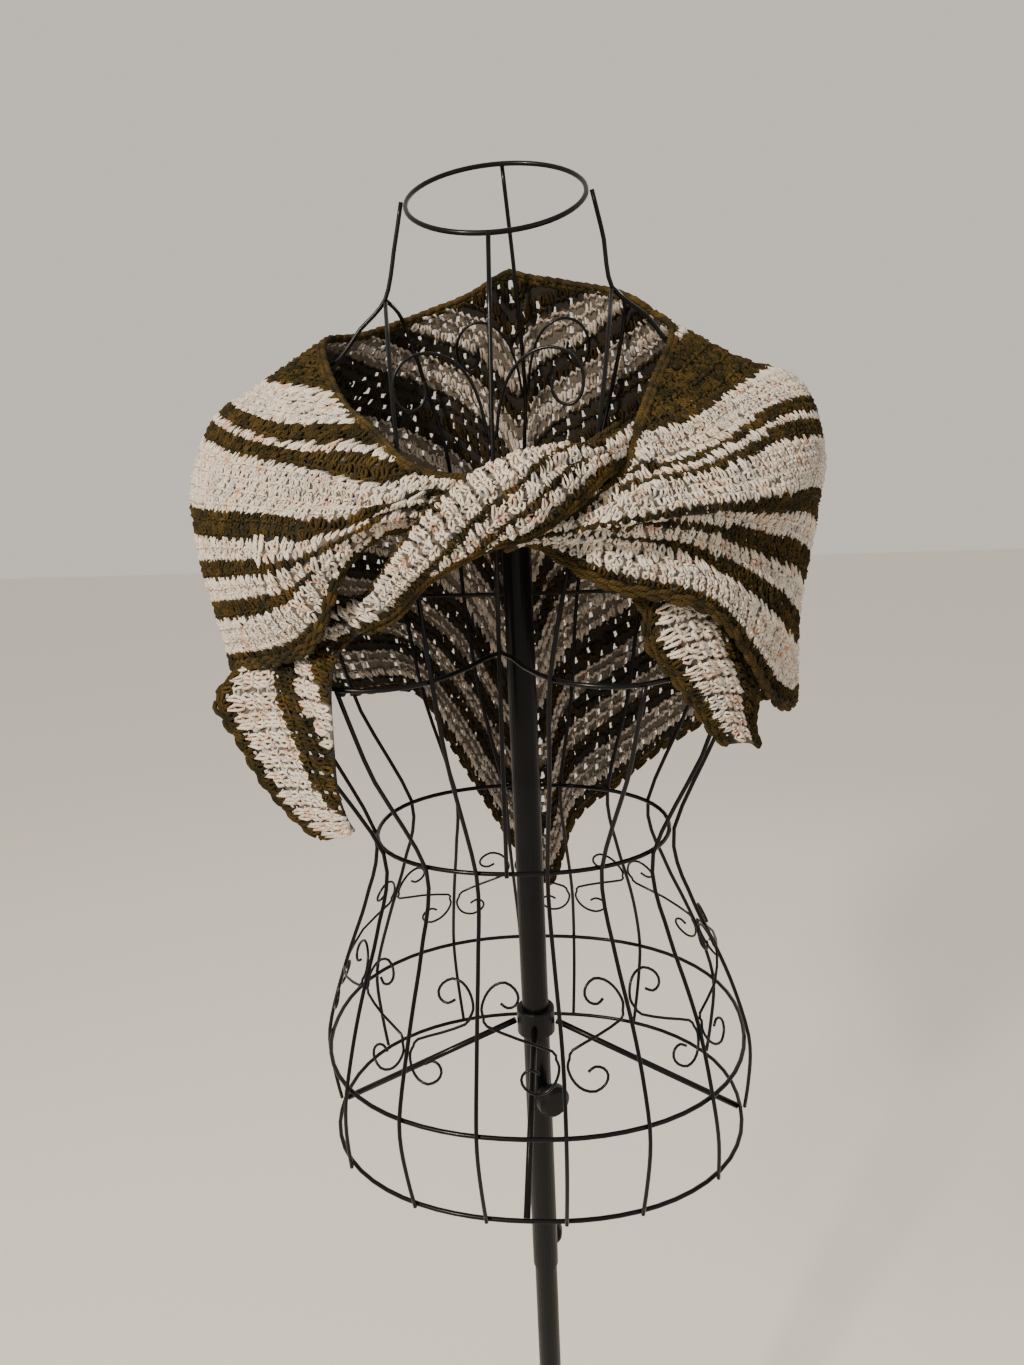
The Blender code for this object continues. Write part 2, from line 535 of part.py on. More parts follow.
collar_bore = tube_radius + 0.0003
collar_profile = [
    (collar_bore, collar_bottom), (collar_bore, collar_top), (collar_radius - 0.001, collar_top),
    (collar_radius, collar_top - 0.001), (collar_radius, collar_bottom + 0.001), (collar_radius - 0.001, collar_bottom),
    (collar_bore, collar_bottom),
]
turned("collar", collar_profile, 24, tube_black)

# Struts from the collar out to the hem ring
hem = rings["hem"]
for label, degrees, height in (("front", 0, 0.831), ("left", -90, 0.830), ("right", 90, 0.830)):
    end = ring_point(hem, degrees, -ring_inset)
    towards = unit(end[:2])
    start = np.array([*(towards * (collar_radius + 0.0014)), height])
    end[:2] -= towards * (ring_radius + 0.0005)
    end[2] += 0.0005
    wire("strut_" + label, [start, end], strut_radius, wire_black, sides=6)

# Clamp knobs: each on a threaded stem in a boss beside the tube, its origin on the stem's axis
clamp_knobs = [
    {"name": "front", "degrees": 32.0, "z": 0.772},
    {"name": "rear", "degrees": 180.0, "z": 0.607},
]


def lay_out(obj, degrees, z):
    """Turns a shape made along +Z so that it points out from the pole at an angle from the front."""
    turn = math.radians(degrees)
    out = (math.sin(turn), -math.cos(turn), 0.0)
    obj.rotation_euler = (math.pi / 2, 0.0, turn)
    obj.location = (0.0, 0.0, z)
    return out


for clamp in clamp_knobs:
    near = tube_radius + 0.0003
    boss = [
        (stem_radius + 0.0003, near), (stem_radius + 0.0003, boss_reach), (boss_radius - 0.0006, boss_reach),
        (boss_radius, boss_reach - 0.0006), (boss_radius, near), (stem_radius + 0.0003, near),
    ]
    lay_out(turned("boss_" + clamp["name"], boss, 16, tube_black), clamp["degrees"], clamp["z"])
    back = boss_reach + 0.0006
    front = back + knob_depth
    knob = [
        (0.0, front), (knob_radius - 0.003, front), (knob_radius, front - 0.003), (knob_radius, back + 0.0015),
        (knob_radius - 0.0015, back), (stem_radius, back), (stem_radius, near), (0.0, near),
    ]
    lay_out(turned("knob_" + clamp["name"], knob, 24, knob_black), clamp["degrees"], clamp["z"])
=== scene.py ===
# A crocheted triangular shawlette, tied once in front, on a black wire dress form with a pole stand.
# Metres, +Z up. The form faces -Y and +X is the viewer's right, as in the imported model.

import bpy
import math
import numpy as np
from mathutils import Matrix


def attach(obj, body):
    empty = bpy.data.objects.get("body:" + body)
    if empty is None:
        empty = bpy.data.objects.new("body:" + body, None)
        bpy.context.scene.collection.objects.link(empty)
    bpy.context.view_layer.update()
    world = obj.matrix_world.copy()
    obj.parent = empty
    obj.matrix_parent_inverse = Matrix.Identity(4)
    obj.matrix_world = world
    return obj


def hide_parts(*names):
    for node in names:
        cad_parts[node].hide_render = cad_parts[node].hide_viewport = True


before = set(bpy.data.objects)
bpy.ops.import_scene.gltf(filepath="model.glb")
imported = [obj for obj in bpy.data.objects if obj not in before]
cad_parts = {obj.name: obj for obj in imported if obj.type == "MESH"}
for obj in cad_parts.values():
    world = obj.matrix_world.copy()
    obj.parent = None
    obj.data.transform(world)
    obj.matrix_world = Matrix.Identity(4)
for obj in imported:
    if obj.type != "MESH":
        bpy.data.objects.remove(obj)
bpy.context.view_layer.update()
mm = 0.001
print("frame loaded:", len(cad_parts), "nodes")


def linear(hexColour):
    # sRGB hex to linear light: each part to the power 2.4 above the straight toe
    parts = np.array([int(hexColour[i:i + 2], 16) for i in (1, 3, 5)]) / 255
    toned = np.where(parts <= 0.04045, parts / 12.92, ((parts + 0.055) / 1.055) ** 2.4)
    return (*toned.tolist(), 1.0)


def addNode(tree, kind, settings=None, inputs=None):
    # one node with its settings; an input that is a socket is linked, any other value is set
    node = tree.nodes.new(kind)
    for key, value in (settings or {}).items():
        setattr(node, key, value)
    for key, value in (inputs or {}).items():
        if isinstance(value, bpy.types.NodeSocket):
            tree.links.new(value, node.inputs[key])
        else:
            node.inputs[key].default_value = value
    return node


def unitRows(vectors):
    # each vector over its own length
    return vectors / np.maximum(np.linalg.norm(vectors, axis=-1, keepdims=True), 1e-12)


def splineAt(points, at):
    # Catmull-Rom curve through the points, read at parameters from 0 to their count less one
    points = np.asarray(points, float)
    held = np.concatenate([(2 * points[0] - points[1])[None], points, (2 * points[-1] - points[-2])[None]])
    at = np.clip(np.asarray(at, float), 0, len(points) - 1)
    start = np.minimum(at.astype(int), len(points) - 2)
    f = (at - start).reshape((-1,) + (1,) * (points.ndim - 1))
    a, b, c, d = held[start], held[start + 1], held[start + 2], held[start + 3]
    cubic = 3 * b - a - 3 * c + d
    return 0.5 * (2 * b + (c - a) * f + (2 * a - 5 * b + 4 * c - d) * f ** 2 + cubic * f ** 3)


def meshFrom(name, points, faces, material, uv=None, values=None):
    # faces is a list of (count, sides) index arrays; uv has one pair per face corner in the same order
    mesh = bpy.data.meshes.new(name)
    totals = np.concatenate([np.full(len(f), f.shape[1]) for f in faces]).astype(np.int32)
    corners = np.concatenate([f.ravel() for f in faces]).astype(np.int32)
    mesh.vertices.add(len(points))
    mesh.vertices.foreach_set("co", np.ascontiguousarray(points, np.float32).ravel())
    mesh.loops.add(len(corners))
    mesh.loops.foreach_set("vertex_index", corners)
    mesh.polygons.add(len(totals))
    mesh.polygons.foreach_set("loop_start", np.concatenate([[0], np.cumsum(totals)[:-1]]).astype(np.int32))
    mesh.polygons.foreach_set("loop_total", totals)
    mesh.update(calc_edges=True)
    if uv is not None:
        layer = mesh.uv_layers.new(name="yarn")
        layer.data.foreach_set("uv", np.ascontiguousarray(uv, np.float32).ravel())
    for key, value in (values or {}).items():
        attribute = mesh.attributes.new(key, "FLOAT", "POINT")
        attribute.data.foreach_set("value", np.ascontiguousarray(value, np.float32))
    mesh.validate()
    mesh.shade_smooth()
    mesh.materials.append(material)
    piece = bpy.data.objects.new(name, mesh)
    bpy.context.scene.collection.objects.link(piece)
    return piece


def tubes(name, paths, radii, upward, sides, material, dye=None, closed=False):
    # A round section carried along many paths at once:
    # point = path + radius * (cos t * across + sin t * tangent x across).
    # The section's direction is carried from ring to ring by taking out its part along the path.
    count, rings = paths.shape[:2]
    if closed:
        tangents = unitRows(np.roll(paths, -1, 1) - np.roll(paths, 1, 1))
    else:
        tangents = unitRows(np.gradient(paths, axis=1))
    direction, carried = upward, []
    for i in range(rings):
        t = tangents[:, i]
        direction = unitRows(direction - (direction * t).sum(-1, keepdims=True) * t)
        carried.append(direction)
    across = np.stack(carried, 1)
    other = np.cross(tangents, across)
    turn = np.arange(sides) * 2 * math.pi / sides
    radii = np.broadcast_to(radii, (count, rings))[:, :, None, None]
    circle = across[:, :, None] * np.cos(turn)[:, None] + other[:, :, None] * np.sin(turn)[:, None]
    points = paths[:, :, None] + radii * circle
    index = np.arange(count * rings * sides).reshape(count, rings, sides)
    here, there = (index, np.roll(index, -1, 1)) if closed else (index[:, :-1], index[:, 1:])
    quads = np.stack([here, np.roll(here, -1, 2), np.roll(there, -1, 2), there], -1).reshape(-1, 4)
    lengths = np.linalg.norm(np.diff(paths, axis=1), axis=2)
    run = np.concatenate([np.zeros((count, 1)), np.cumsum(lengths, 1)], 1)
    spans = here.shape[1]
    low = np.broadcast_to(run[:, :spans, None], (count, spans, sides))
    high = np.broadcast_to(np.roll(run, -1, 1)[:, :spans, None], (count, spans, sides))
    left = np.broadcast_to(np.arange(sides) / sides, (count, spans, sides))
    right = left + 1 / sides
    uv = np.stack([np.stack([low, left], -1), np.stack([low, right], -1),
                   np.stack([high, right], -1), np.stack([high, left], -1)], 3).reshape(-1, 2)
    faces = [quads]
    if not closed:
        faces += [index[:, 0, ::-1].reshape(-1, sides), index[:, -1].reshape(-1, sides)]
        uv = np.concatenate([uv, np.zeros((2 * count * sides, 2))])
    values = None if dye is None else {"dye": np.repeat(dye, rings * sides)}
    return meshFrom(name, points.reshape(-1, 3), faces, material, uv, values)


def newMaterial(name):
    material = bpy.data.materials.new(name)
    material.use_nodes = True
    tree = material.node_tree
    return material, tree, tree.nodes["Principled BSDF"]


yarnLook = {
    "plies": 4,              # strands twisted into one yarn
    "twistMm": 9.0,          # one full turn of the yarn
    "fuzzMm": 0.5,           # loose fibres, drawn coarser than real ones so that they show
    "patchMm": 26.0,         # length of one dye patch as it lies in the cloth
    "fleckMm": 5.5,          # size of a fleck of another dye
    "fleckDriftMm": 19.0,    # how far apart flecks of different dyes lie
    "rampLow": 0.36,         # where the first and the last dye of the ramp stand
    "rampHigh": 0.94,
    "dyeShare": 0.34,        # how much the stitch's own number shifts its dye
    "groundGrainMm": 2.2,    # mottling of the ground behind the stitches
}


def cottonYarn(name, colours, flecks, fleckShare, grooveShade):
    # Plied worsted cotton, mercerised a little: matt, with a soft sheen at grazing angles, grooves between
    # the plies that are bumped and darkened with painted shade, and dye that drifts from one colour to the next
    # along the yarn.
    material, tree, shader = newMaterial(name)
    place = addNode(tree, "ShaderNodeTexCoord")
    dye = addNode(tree, "ShaderNodeAttribute", {"attribute_name": "dye"})
    uv = addNode(tree, "ShaderNodeUVMap", {"uv_map": "yarn"})
    split = addNode(tree, "ShaderNodeSeparateXYZ", None, {"Vector": uv.outputs["UV"]})
    patch = addNode(tree, "ShaderNodeTexNoise", None, {
        "Vector": place.outputs["Object"], "Scale": 1000 / yarnLook["patchMm"],
        "Detail": 2.0, "Roughness": 0.6})
    drift = addNode(tree, "ShaderNodeMath", {"operation": "MULTIPLY_ADD"}, {
        0: dye.outputs["Fac"], 1: yarnLook["dyeShare"], 2: patch.outputs["Fac"]})
    ramp = addNode(tree, "ShaderNodeValToRGB", None, {"Fac": drift.outputs[0]})
    band = ramp.color_ramp
    low, high = yarnLook["rampLow"], yarnLook["rampHigh"]
    band.elements[0].position, band.elements[1].position = low, high
    band.elements[0].color, band.elements[1].color = linear(colours[0]), linear(colours[-1])
    for i, colour in enumerate(colours[1:-1]):
        element = band.elements.new(low + (high - low) * (i + 1) / (len(colours) - 1))
        element.color = linear(colour)
    # short flecks of other dyes
    speck = addNode(tree, "ShaderNodeTexNoise", None, {
        "Vector": place.outputs["Object"], "Scale": 1000 / yarnLook["fleckMm"], "Detail": 1.0})
    which = addNode(tree, "ShaderNodeTexNoise", None, {
        "Vector": place.outputs["Object"], "Scale": 1000 / yarnLook["fleckDriftMm"], "Detail": 0.0})
    fleckRamp = addNode(tree, "ShaderNodeValToRGB", None, {"Fac": which.outputs["Fac"]})
    fleckBand = fleckRamp.color_ramp
    fleckBand.elements[0].position, fleckBand.elements[1].position = 0.42, 0.60
    fleckBand.elements[0].color, fleckBand.elements[1].color = linear(flecks[0]), linear(flecks[2])
    fleckBand.elements.new(0.5).color = linear(flecks[1])
    cut = addNode(tree, "ShaderNodeMapRange", None, {
        "Value": speck.outputs["Fac"], "From Min": 0.54, "From Max": 0.64, "To Max": fleckShare})
    tinted = addNode(tree, "ShaderNodeMix", {"data_type": "RGBA"}, {
        0: cut.outputs["Result"], 6: ramp.outputs["Color"], 7: fleckRamp.outputs["Color"]})
    # painted shade in the grooves between the plies: the colour is darkened where the sine of 2 pi plies (turn +
    # length / twist) is low
    around = addNode(tree, "ShaderNodeMath", {"operation": "MULTIPLY"}, {
        0: split.outputs["Y"], 1: 2 * math.pi * yarnLook["plies"]})
    turnsPerMetre = yarnLook["plies"] / (yarnLook["twistMm"] * mm)
    phase = addNode(tree, "ShaderNodeMath", {"operation": "MULTIPLY_ADD"}, {
        0: split.outputs["X"], 1: 2 * math.pi * turnsPerMetre, 2: around.outputs[0]})
    wave = addNode(tree, "ShaderNodeMath", {"operation": "SINE"}, {0: phase.outputs[0]})
    ridge = addNode(tree, "ShaderNodeMapRange", None, {
        "Value": wave.outputs[0], "From Min": -1.0, "From Max": 0.5})
    depth = addNode(tree, "ShaderNodeMapRange", None, {"Value": ridge.outputs["Result"], "To Min": grooveShade})
    grey = addNode(tree, "ShaderNodeCombineColor", None, {
        0: depth.outputs["Result"], 1: depth.outputs["Result"], 2: depth.outputs["Result"]})
    shaded = addNode(tree, "ShaderNodeMix", {"data_type": "RGBA", "blend_type": "MULTIPLY"}, {
        0: 1.0, 6: tinted.outputs[2], 7: grey.outputs["Color"]})
    fuzz = addNode(tree, "ShaderNodeTexNoise", None, {
        "Vector": place.outputs["Object"], "Scale": 1000 / yarnLook["fuzzMm"], "Detail": 2.0})
    height = addNode(tree, "ShaderNodeMath", {"operation": "MULTIPLY_ADD"}, {
        0: fuzz.outputs["Fac"], 1: 0.35, 2: ridge.outputs["Result"]})
    bump = addNode(tree, "ShaderNodeBump", None, {
        "Height": height.outputs[0], "Strength": 0.55, "Distance": 0.0005})
    tree.links.new(shaded.outputs[2], shader.inputs["Base Color"])
    tree.links.new(bump.outputs["Normal"], shader.inputs["Normal"])
    shader.inputs["Roughness"].default_value = 0.82
    shader.inputs["IOR"].default_value = 1.47
    shader.inputs["Specular IOR Level"].default_value = 0.16
    shader.inputs["Sheen Weight"].default_value = 0.10
    shader.inputs["Sheen Roughness"].default_value = 0.35
    shader.inputs["Sheen Tint"].default_value = linear(colours[-1])
    return material


oliveYarn = cottonYarn("olive_cotton_yarn", ["#201f0e", "#2d2712", "#3c3115", "#4a3b19", "#58461e"],
                       ["#262911", "#5f4519", "#20210d"], 0.45, 0.5)
creamYarn = cottonYarn("cream_cotton_yarn", ["#c6bdae", "#dacfbd", "#e3d9c7", "#eae1d0", "#e0c9b0"],
                       ["#8b97a4", "#caa792", "#c07a48"], 0.55, 0.72)
# painted shade: yarn raised on the side turned to the hollow, which little light reaches, gets darker copies of
# both yarns
oliveShadeCopy = cottonYarn("olive_cotton_yarn_painted_shade",
                        ["#17150a", "#211c0c", "#2c240f", "#362b12", "#403215"],
                        ["#191a0b", "#3d2d11", "#151409"], 0.4, 0.45)
creamShadeCopy = cottonYarn("cream_cotton_yarn_painted_shade",
                        ["#958d83", "#b0a79b", "#c0b7aa", "#cbc2b4", "#b8a593"],
                        ["#6f7883", "#97806f", "#8a5a3a"], 0.5, 0.65)


def knitGround(name):
    # Painted shade: a dark sheet that stands for the shaded depth of the stitches behind the raised yarn, in a dark
    # tone of its row's colour.
    material, tree, shader = newMaterial(name)
    place = addNode(tree, "ShaderNodeTexCoord")
    stripe = addNode(tree, "ShaderNodeAttribute", {"attribute_name": "stripe"})
    noise = addNode(tree, "ShaderNodeTexNoise", None, {
        "Vector": place.outputs["Object"], "Scale": 1000 / yarnLook["groundGrainMm"], "Detail": 3.0})
    # these dark tones of olive and cream are painted shade between the stitches
    olive = addNode(tree, "ShaderNodeMix", {"data_type": "RGBA"}, {
        0: noise.outputs["Fac"], 6: linear("#090904"), 7: linear("#1c170b")})
    cream = addNode(tree, "ShaderNodeMix", {"data_type": "RGBA"}, {
        0: noise.outputs["Fac"], 6: linear("#39342c"), 7: linear("#6b6357")})
    colour = addNode(tree, "ShaderNodeMix", {"data_type": "RGBA"}, {
        0: stripe.outputs["Fac"], 6: olive.outputs[2], 7: cream.outputs[2]})
    bump = addNode(tree, "ShaderNodeBump", None, {
        "Height": noise.outputs["Fac"], "Strength": 0.8, "Distance": 0.0006})
    tree.links.new(colour.outputs[2], shader.inputs["Base Color"])
    tree.links.new(bump.outputs["Normal"], shader.inputs["Normal"])
    shader.inputs["Roughness"].default_value = 0.9
    shader.inputs["IOR"].default_value = 1.47
    shader.inputs["Sheen Weight"].default_value = 0.03
    return material


clothGroundShade = knitGround("cotton_stitch_ground_painted_shade")


steelLook = {"wearMm": 34.0, "wornRoughness": 0.14}   # size of the worn spots, and how much duller they are


def paintedSteel(name, colour, roughness, peelMm):
    # Black enamel on steel: a low gloss with the slight orange peel of sprayed paint and duller spots.
    material, tree, shader = newMaterial(name)
    place = addNode(tree, "ShaderNodeTexCoord")
    peel = addNode(tree, "ShaderNodeTexNoise", None, {
        "Vector": place.outputs["Object"], "Scale": 1000 / peelMm, "Detail": 2.0})
    wear = addNode(tree, "ShaderNodeTexNoise", None, {
        "Vector": place.outputs["Object"], "Scale": 1000 / steelLook["wearMm"], "Detail": 4.0})
    dull = addNode(tree, "ShaderNodeMapRange", None, {
        "Value": wear.outputs["Fac"], "From Min": 0.35, "From Max": 0.7,
        "To Min": roughness, "To Max": roughness + steelLook["wornRoughness"]})
    tone = addNode(tree, "ShaderNodeMix", {"data_type": "RGBA"}, {
        0: wear.outputs["Fac"], 6: linear(colour), 7: linear("#0a0a0b")})
    bump = addNode(tree, "ShaderNodeBump", None, {
        "Height": peel.outputs["Fac"], "Strength": 0.12, "Distance": 0.0003})
    tree.links.new(tone.outputs[2], shader.inputs["Base Color"])
    tree.links.new(dull.outputs["Result"], shader.inputs["Roughness"])
    tree.links.new(bump.outputs["Normal"], shader.inputs["Normal"])
    shader.inputs["IOR"].default_value = 1.52
    shader.inputs["Specular IOR Level"].default_value = 0.14
    shader.inputs["Coat Weight"].default_value = 0.08
    shader.inputs["Coat Roughness"].default_value = 0.12
    return material


wirePaint = paintedSteel("black_enamelled_wire", "#060607", 0.26, 1.6)
polePaint = paintedSteel("black_enamelled_tube", "#050506", 0.30, 2.4)
# moulded plastic has the same kind of skin, with a finer peel
knobPlastic = paintedSteel("black_moulded_knob", "#0b0b0b", 0.42, 0.9)
print("materials made")


# The cloth's own form: the same stations as the solids, with the number of the row at each line.
clothLook = {
    "wall": 0.0036,      # the solid's wall; the cloth's middle lies half of it inside the stations
    "ground": 0.0010,    # the sheet that carries the stitches
    "pleats": 5,         # soft pleats across each stretch
    "stitchMm": 6.6,     # from one stitch to the next along a row of full size
    "rowMm": 9.2,        # from row to row of the stripe order
    "fineRows": 1.5,     # stitch rows laid for each of those, outside the back
    "yarnMm": 2.75,
}

shawlStations = [
    # name, pleat, neck, shoulder, crest, arm, fold, skirt, hem
    ("L11", 1.0, (74, -108, 1288), (75, -112, 1281), (75, -115, 1273), (75, -117, 1265), (73, -118, 1257), (70, -117, 1250), (67, -115, 1244)),
    ("L10", 1.0, (46, -133, 1274), (45, -139, 1268), (44, -142, 1261), (43, -143, 1254), (41, -143, 1248), (39, -141, 1242), (37, -137, 1236)),
    ("L9", 1.2, (10, -146, 1264), (7, -153, 1258), (4, -156, 1251), (1, -157, 1244), (-2, -156, 1237), (-4, -152, 1231), (-7, -146, 1225)),
    ("L8", 1.4, (-20, -163, 1266), (-25, -171, 1262), (-30, -175, 1258), (-36, -177, 1253), (-41, -176, 1248), (-46, -172, 1243), (-50, -164, 1238)),
    ("L7", 1.6, (-47, -152, 1274), (-58, -167, 1264), (-67, -176, 1255), (-75, -180, 1246), (-80, -181, 1237), (-83, -178, 1228), (-82, -170, 1217)),
    ("L6", 1.4, (-73, -112, 1292), (-102, -130, 1277), (-125, -140, 1259), (-138, -146, 1239), (-141, -149, 1218), (-134, -150, 1194), (-114, -148, 1170)),
    ("L5", 0.8, (-105, -60, 1313), (-146, -66, 1303), (-180, -72, 1281), (-198, -78, 1247), (-198, -80, 1213), (-191, -82, 1178), (-178, -83, 1146)),
    ("L4", 0.3, (-129, -2, 1351), (-172, 3, 1329), (-212, 6, 1304), (-228, 6, 1256), (-222, 4, 1212), (-214, 0, 1168), (-210, -6, 1127)),
    ("L3", 0.0, (-110, 34, 1358), (-143, 54, 1334), (-174, 70, 1300), (-193, 80, 1250), (-197, 86, 1195), (-189, 94, 1135), (-171, 102, 1080)),
    ("L2", 0.0, (-80, 60, 1368), (-98, 84, 1325), (-114, 100, 1280), (-125, 108, 1225), (-127, 113, 1170), (-118, 117, 1120), (-106, 119, 1077)),
    ("L1", 0.0, (-38, 72, 1382), (-46, 92, 1325), (-53, 105, 1265), (-58, 113, 1200), (-64, 117, 1140), (-70, 120, 1082), (-75, 120, 1028)),
    ("LA", 0.0, (-14, 74, 1394), (-18, 91, 1330), (-20, 103, 1267), (-22, 111, 1194), (-24, 116, 1118), (-27, 120, 1030), (-30, 124, 942)),
    ("S0", 0.0, (-3, 74, 1398), (-3, 90, 1335), (-2, 102, 1270), (-1, 110, 1190), (1, 115, 1100), (3, 121, 998), (5, 128, 893)),
    ("RA", 0.0, (10, 74, 1394), (13, 91, 1330), (17, 103, 1267), (20, 111, 1194), (23, 116, 1120), (26, 120, 1040), (30, 124, 956)),
    ("R1", 0.0, (48, 70, 1386), (50, 91, 1325), (56, 104, 1265), (62, 112, 1195), (66, 117, 1125), (69, 119, 1058), (71, 119, 994)),
    ("R2", 0.0, (80, 54, 1377), (95, 78, 1328), (110, 94, 1278), (120, 104, 1220), (123, 110, 1155), (122, 115, 1092), (119, 118, 1032)),
    ("R3", 0.0, (101, 26, 1362), (130, 46, 1335), (158, 60, 1300), (176, 72, 1250), (182, 82, 1190), (180, 90, 1126), (172, 100, 1066)),
    ("R4", 0.3, (112, -6, 1347), (152, 0, 1328), (196, 4, 1311), (211, 2, 1266), (207, 0, 1222), (194, -2, 1163), (195, -6, 1099)),
    ("R5", 0.8, (97, -62, 1314), (132, -70, 1299), (163, -76, 1278), (182, -80, 1250), (174, -70, 1214), (178, -78, 1163), (173, -74, 1112)),
    ("R6", 1.2, (86, -112, 1291), (104, -130, 1272), (119, -142, 1256), (128, -148, 1239), (121, -134, 1221), (127, -140, 1201), (127, -139, 1183)),
    ("R7", 1.4, (74, -146, 1264), (78, -162, 1257), (79, -173, 1249), (76, -178, 1240), (69, -163, 1228), (68, -162, 1216), (66, -157, 1204)),
    ("R8", 1.2, (47, -160, 1243), (45, -169, 1241), (42, -173, 1238), (38, -172, 1233), (34, -164, 1229), (30, -158, 1227), (26, -151, 1225)),
    ("R9", 1.0, (24, -162, 1244), (22, -168, 1240), (20, -171, 1237), (18, -171, 1233), (16, -167, 1229), (13, -162, 1226), (10, -156, 1224)),
]

leftEndStations = [
    # name, pleat, left, leftInner, middle, rightInner, right
    ("B0", 0.4, (82, -110, 1291), (84, -113, 1286), (85, -114, 1280), (85, -114, 1273), (84, -112, 1266)),
    ("B1", 1.0, (63, -149, 1282), (65, -153, 1278), (67, -156, 1274), (68, -157, 1270), (68, -157, 1265)),
    ("B2", 1.4, (41, -167, 1282), (44, -176, 1277), (48, -182, 1269), (51, -183, 1260), (52, -179, 1251)),
    ("B3", 1.6, (16, -182, 1278), (21, -193, 1272), (26, -198, 1261), (29, -197, 1247), (28, -188, 1235)),
    ("B4", 1.6, (-9, -186, 1266), (-3, -196, 1261), (3, -200, 1251), (8, -198, 1240), (10, -189, 1231)),
    ("B5", 1.4, (-30, -185, 1250), (-25, -193, 1245), (-20, -196, 1237), (-15, -193, 1229), (-12, -186, 1222)),
    ("B6", 1.2, (-50, -173, 1229), (-46, -182, 1226), (-42, -185, 1220), (-38, -183, 1214), (-34, -176, 1209)),
    ("B7", 0.8, (-74, -150, 1203), (-71, -156, 1201), (-67, -159, 1197), (-62, -159, 1192), (-57, -157, 1188)),
    ("B8", 0.4, (-98, -138, 1193), (-95, -143, 1190), (-91, -146, 1186), (-86, -148, 1181), (-81, -148, 1176)),
    ("A1", 0.3, (-135, -104, 1180), (-127, -114, 1180), (-117, -124, 1178), (-106, -134, 1174), (-93, -143, 1168)),
    ("A2", 0.2, (-170, -70, 1160), (-157, -84, 1163), (-141, -101, 1164), (-120, -127, 1164), (-98, -145, 1160)),
    ("A3", 0.2, (-179, -73, 1146), (-166, -86, 1150), (-147, -103, 1151), (-122, -130, 1151), (-101, -147, 1148)),
    ("A4", 0.2, (-191, -94, 1126), (-174, -96, 1130), (-151, -107, 1133), (-124, -132, 1135), (-102, -149, 1134)),
    ("A5", 0.3, (-177, -103, 1100), (-162, -108, 1103), (-143, -118, 1106), (-121, -137, 1107), (-103, -147, 1107)),
    ("A6", 0.3, (-160, -110, 1071), (-149, -115, 1074), (-135, -124, 1077), (-118, -136, 1078), (-104, -143, 1078)),
    ("A7", 0.3, (-141, -114, 1048), (-134, -119, 1051), (-124, -126, 1054), (-112, -134, 1056), (-101, -138, 1057)),
    ("A8", 0.0, (-124, -118, 1035), (-119, -121, 1037), (-112, -125, 1039), (-105, -129, 1042), (-98, -131, 1045)),
]

rightTailStations = [
    # name, pleat, left, leftInner, middle, rightInner, right
    ("C0", 0.3, (37, -151, 1223), (39, -153, 1226), (41, -154, 1229), (44, -154, 1232), (47, -152, 1235)),
    ("C1", 0.4, (64, -144, 1207), (71, -146, 1212), (79, -144, 1216), (88, -139, 1219), (97, -132, 1220)),
    ("C2", 0.4, (86, -141, 1190), (96, -139, 1194), (108, -131, 1197), (124, -118, 1197), (140, -103, 1192)),
    ("C3", 0.4, (90, -138, 1166), (101, -138, 1172), (116, -130, 1174), (132, -116, 1172), (147, -99, 1164)),
    ("C4", 0.4, (101, -133, 1149), (111, -134, 1154), (124, -126, 1156), (138, -111, 1151), (152, -95, 1142)),
    ("C5", 0.3, (114, -125, 1130), (122, -125, 1134), (132, -118, 1135), (145, -106, 1131), (157, -91, 1121)),
    ("C6", 0.2, (126, -115, 1109), (132, -116, 1113), (139, -111, 1114), (148, -100, 1111), (156, -88, 1101)),
    ("C7", 0.0, (139, -103, 1091), (144, -104, 1092), (149, -102, 1092), (155, -97, 1090), (160, -90, 1085)),
]

shawlRows = {
    # station: the row counted from the neck's middle, at its seven lines or, where two are given, at its two edges
    "L11": (34, 47), "L10": (32, 47), "L9": (30, 47), "L8": (26.5, 47),
    "L7": (24.5, 27, 30, 32.5, 36, 41, 47), "L6": (22.7, 25.5, 30, 33.5, 37.5, 42, 47),
    "L5": (18.5, 21.5, 27, 32, 36.8, 42, 47), "L4": (12.5, 18, 24.5, 30.5, 35.5, 41.3, 47),
    "L3": (10.8, 47), "L2": (7.5, 47), "L1": (3.9, 47), "LA": (1.6, 47), "S0": (0, 47), "RA": (1.6, 47),
    "R1": (3.9, 47), "R2": (7.2, 47), "R3": (10.1, 47),
    "R4": (12, 16, 20, 27.5, 33.5, 39, 47), "R5": (13.5, 18, 25.5, 31, 37, 42, 47),
    "R6": (16.5, 21.5, 28.5, 34, 40.5, 44, 47), "R7": (21, 27.5, 30, 33, 43, 45.2, 47),
    "R8": (24, 27.5, 30, 33, 43.5, 45.5, 47), "R9": (25, 28, 30, 33, 44, 46, 47),
}
bandRows = {
    # rows counted from the upper left edge of the end that crosses the tie
    "B0": (4.5, 9), "B1": (4, 9), "B2": (3.2, 9), "B3": (1.2, 8.8), "B4": (0.5, 7.5), "B5": (0.2, 6),
    "B6": (0, 5), "B7": (0, 5), "B8": (0, 5),
}
leftTailRows = {
    "B8": (0, 11), "A1": (0, 11), "A2": (0, 11), "A3": (0, 10), "A4": (0, 9), "A5": (0, 7),
    "A6": (0, 5.5), "A7": (0, 3.8), "A8": (0, 1),
}
rightTailRows = {name: (0, 6) for name in ("C0", "C1", "C2", "C3", "C4", "C5", "C6", "C7")}

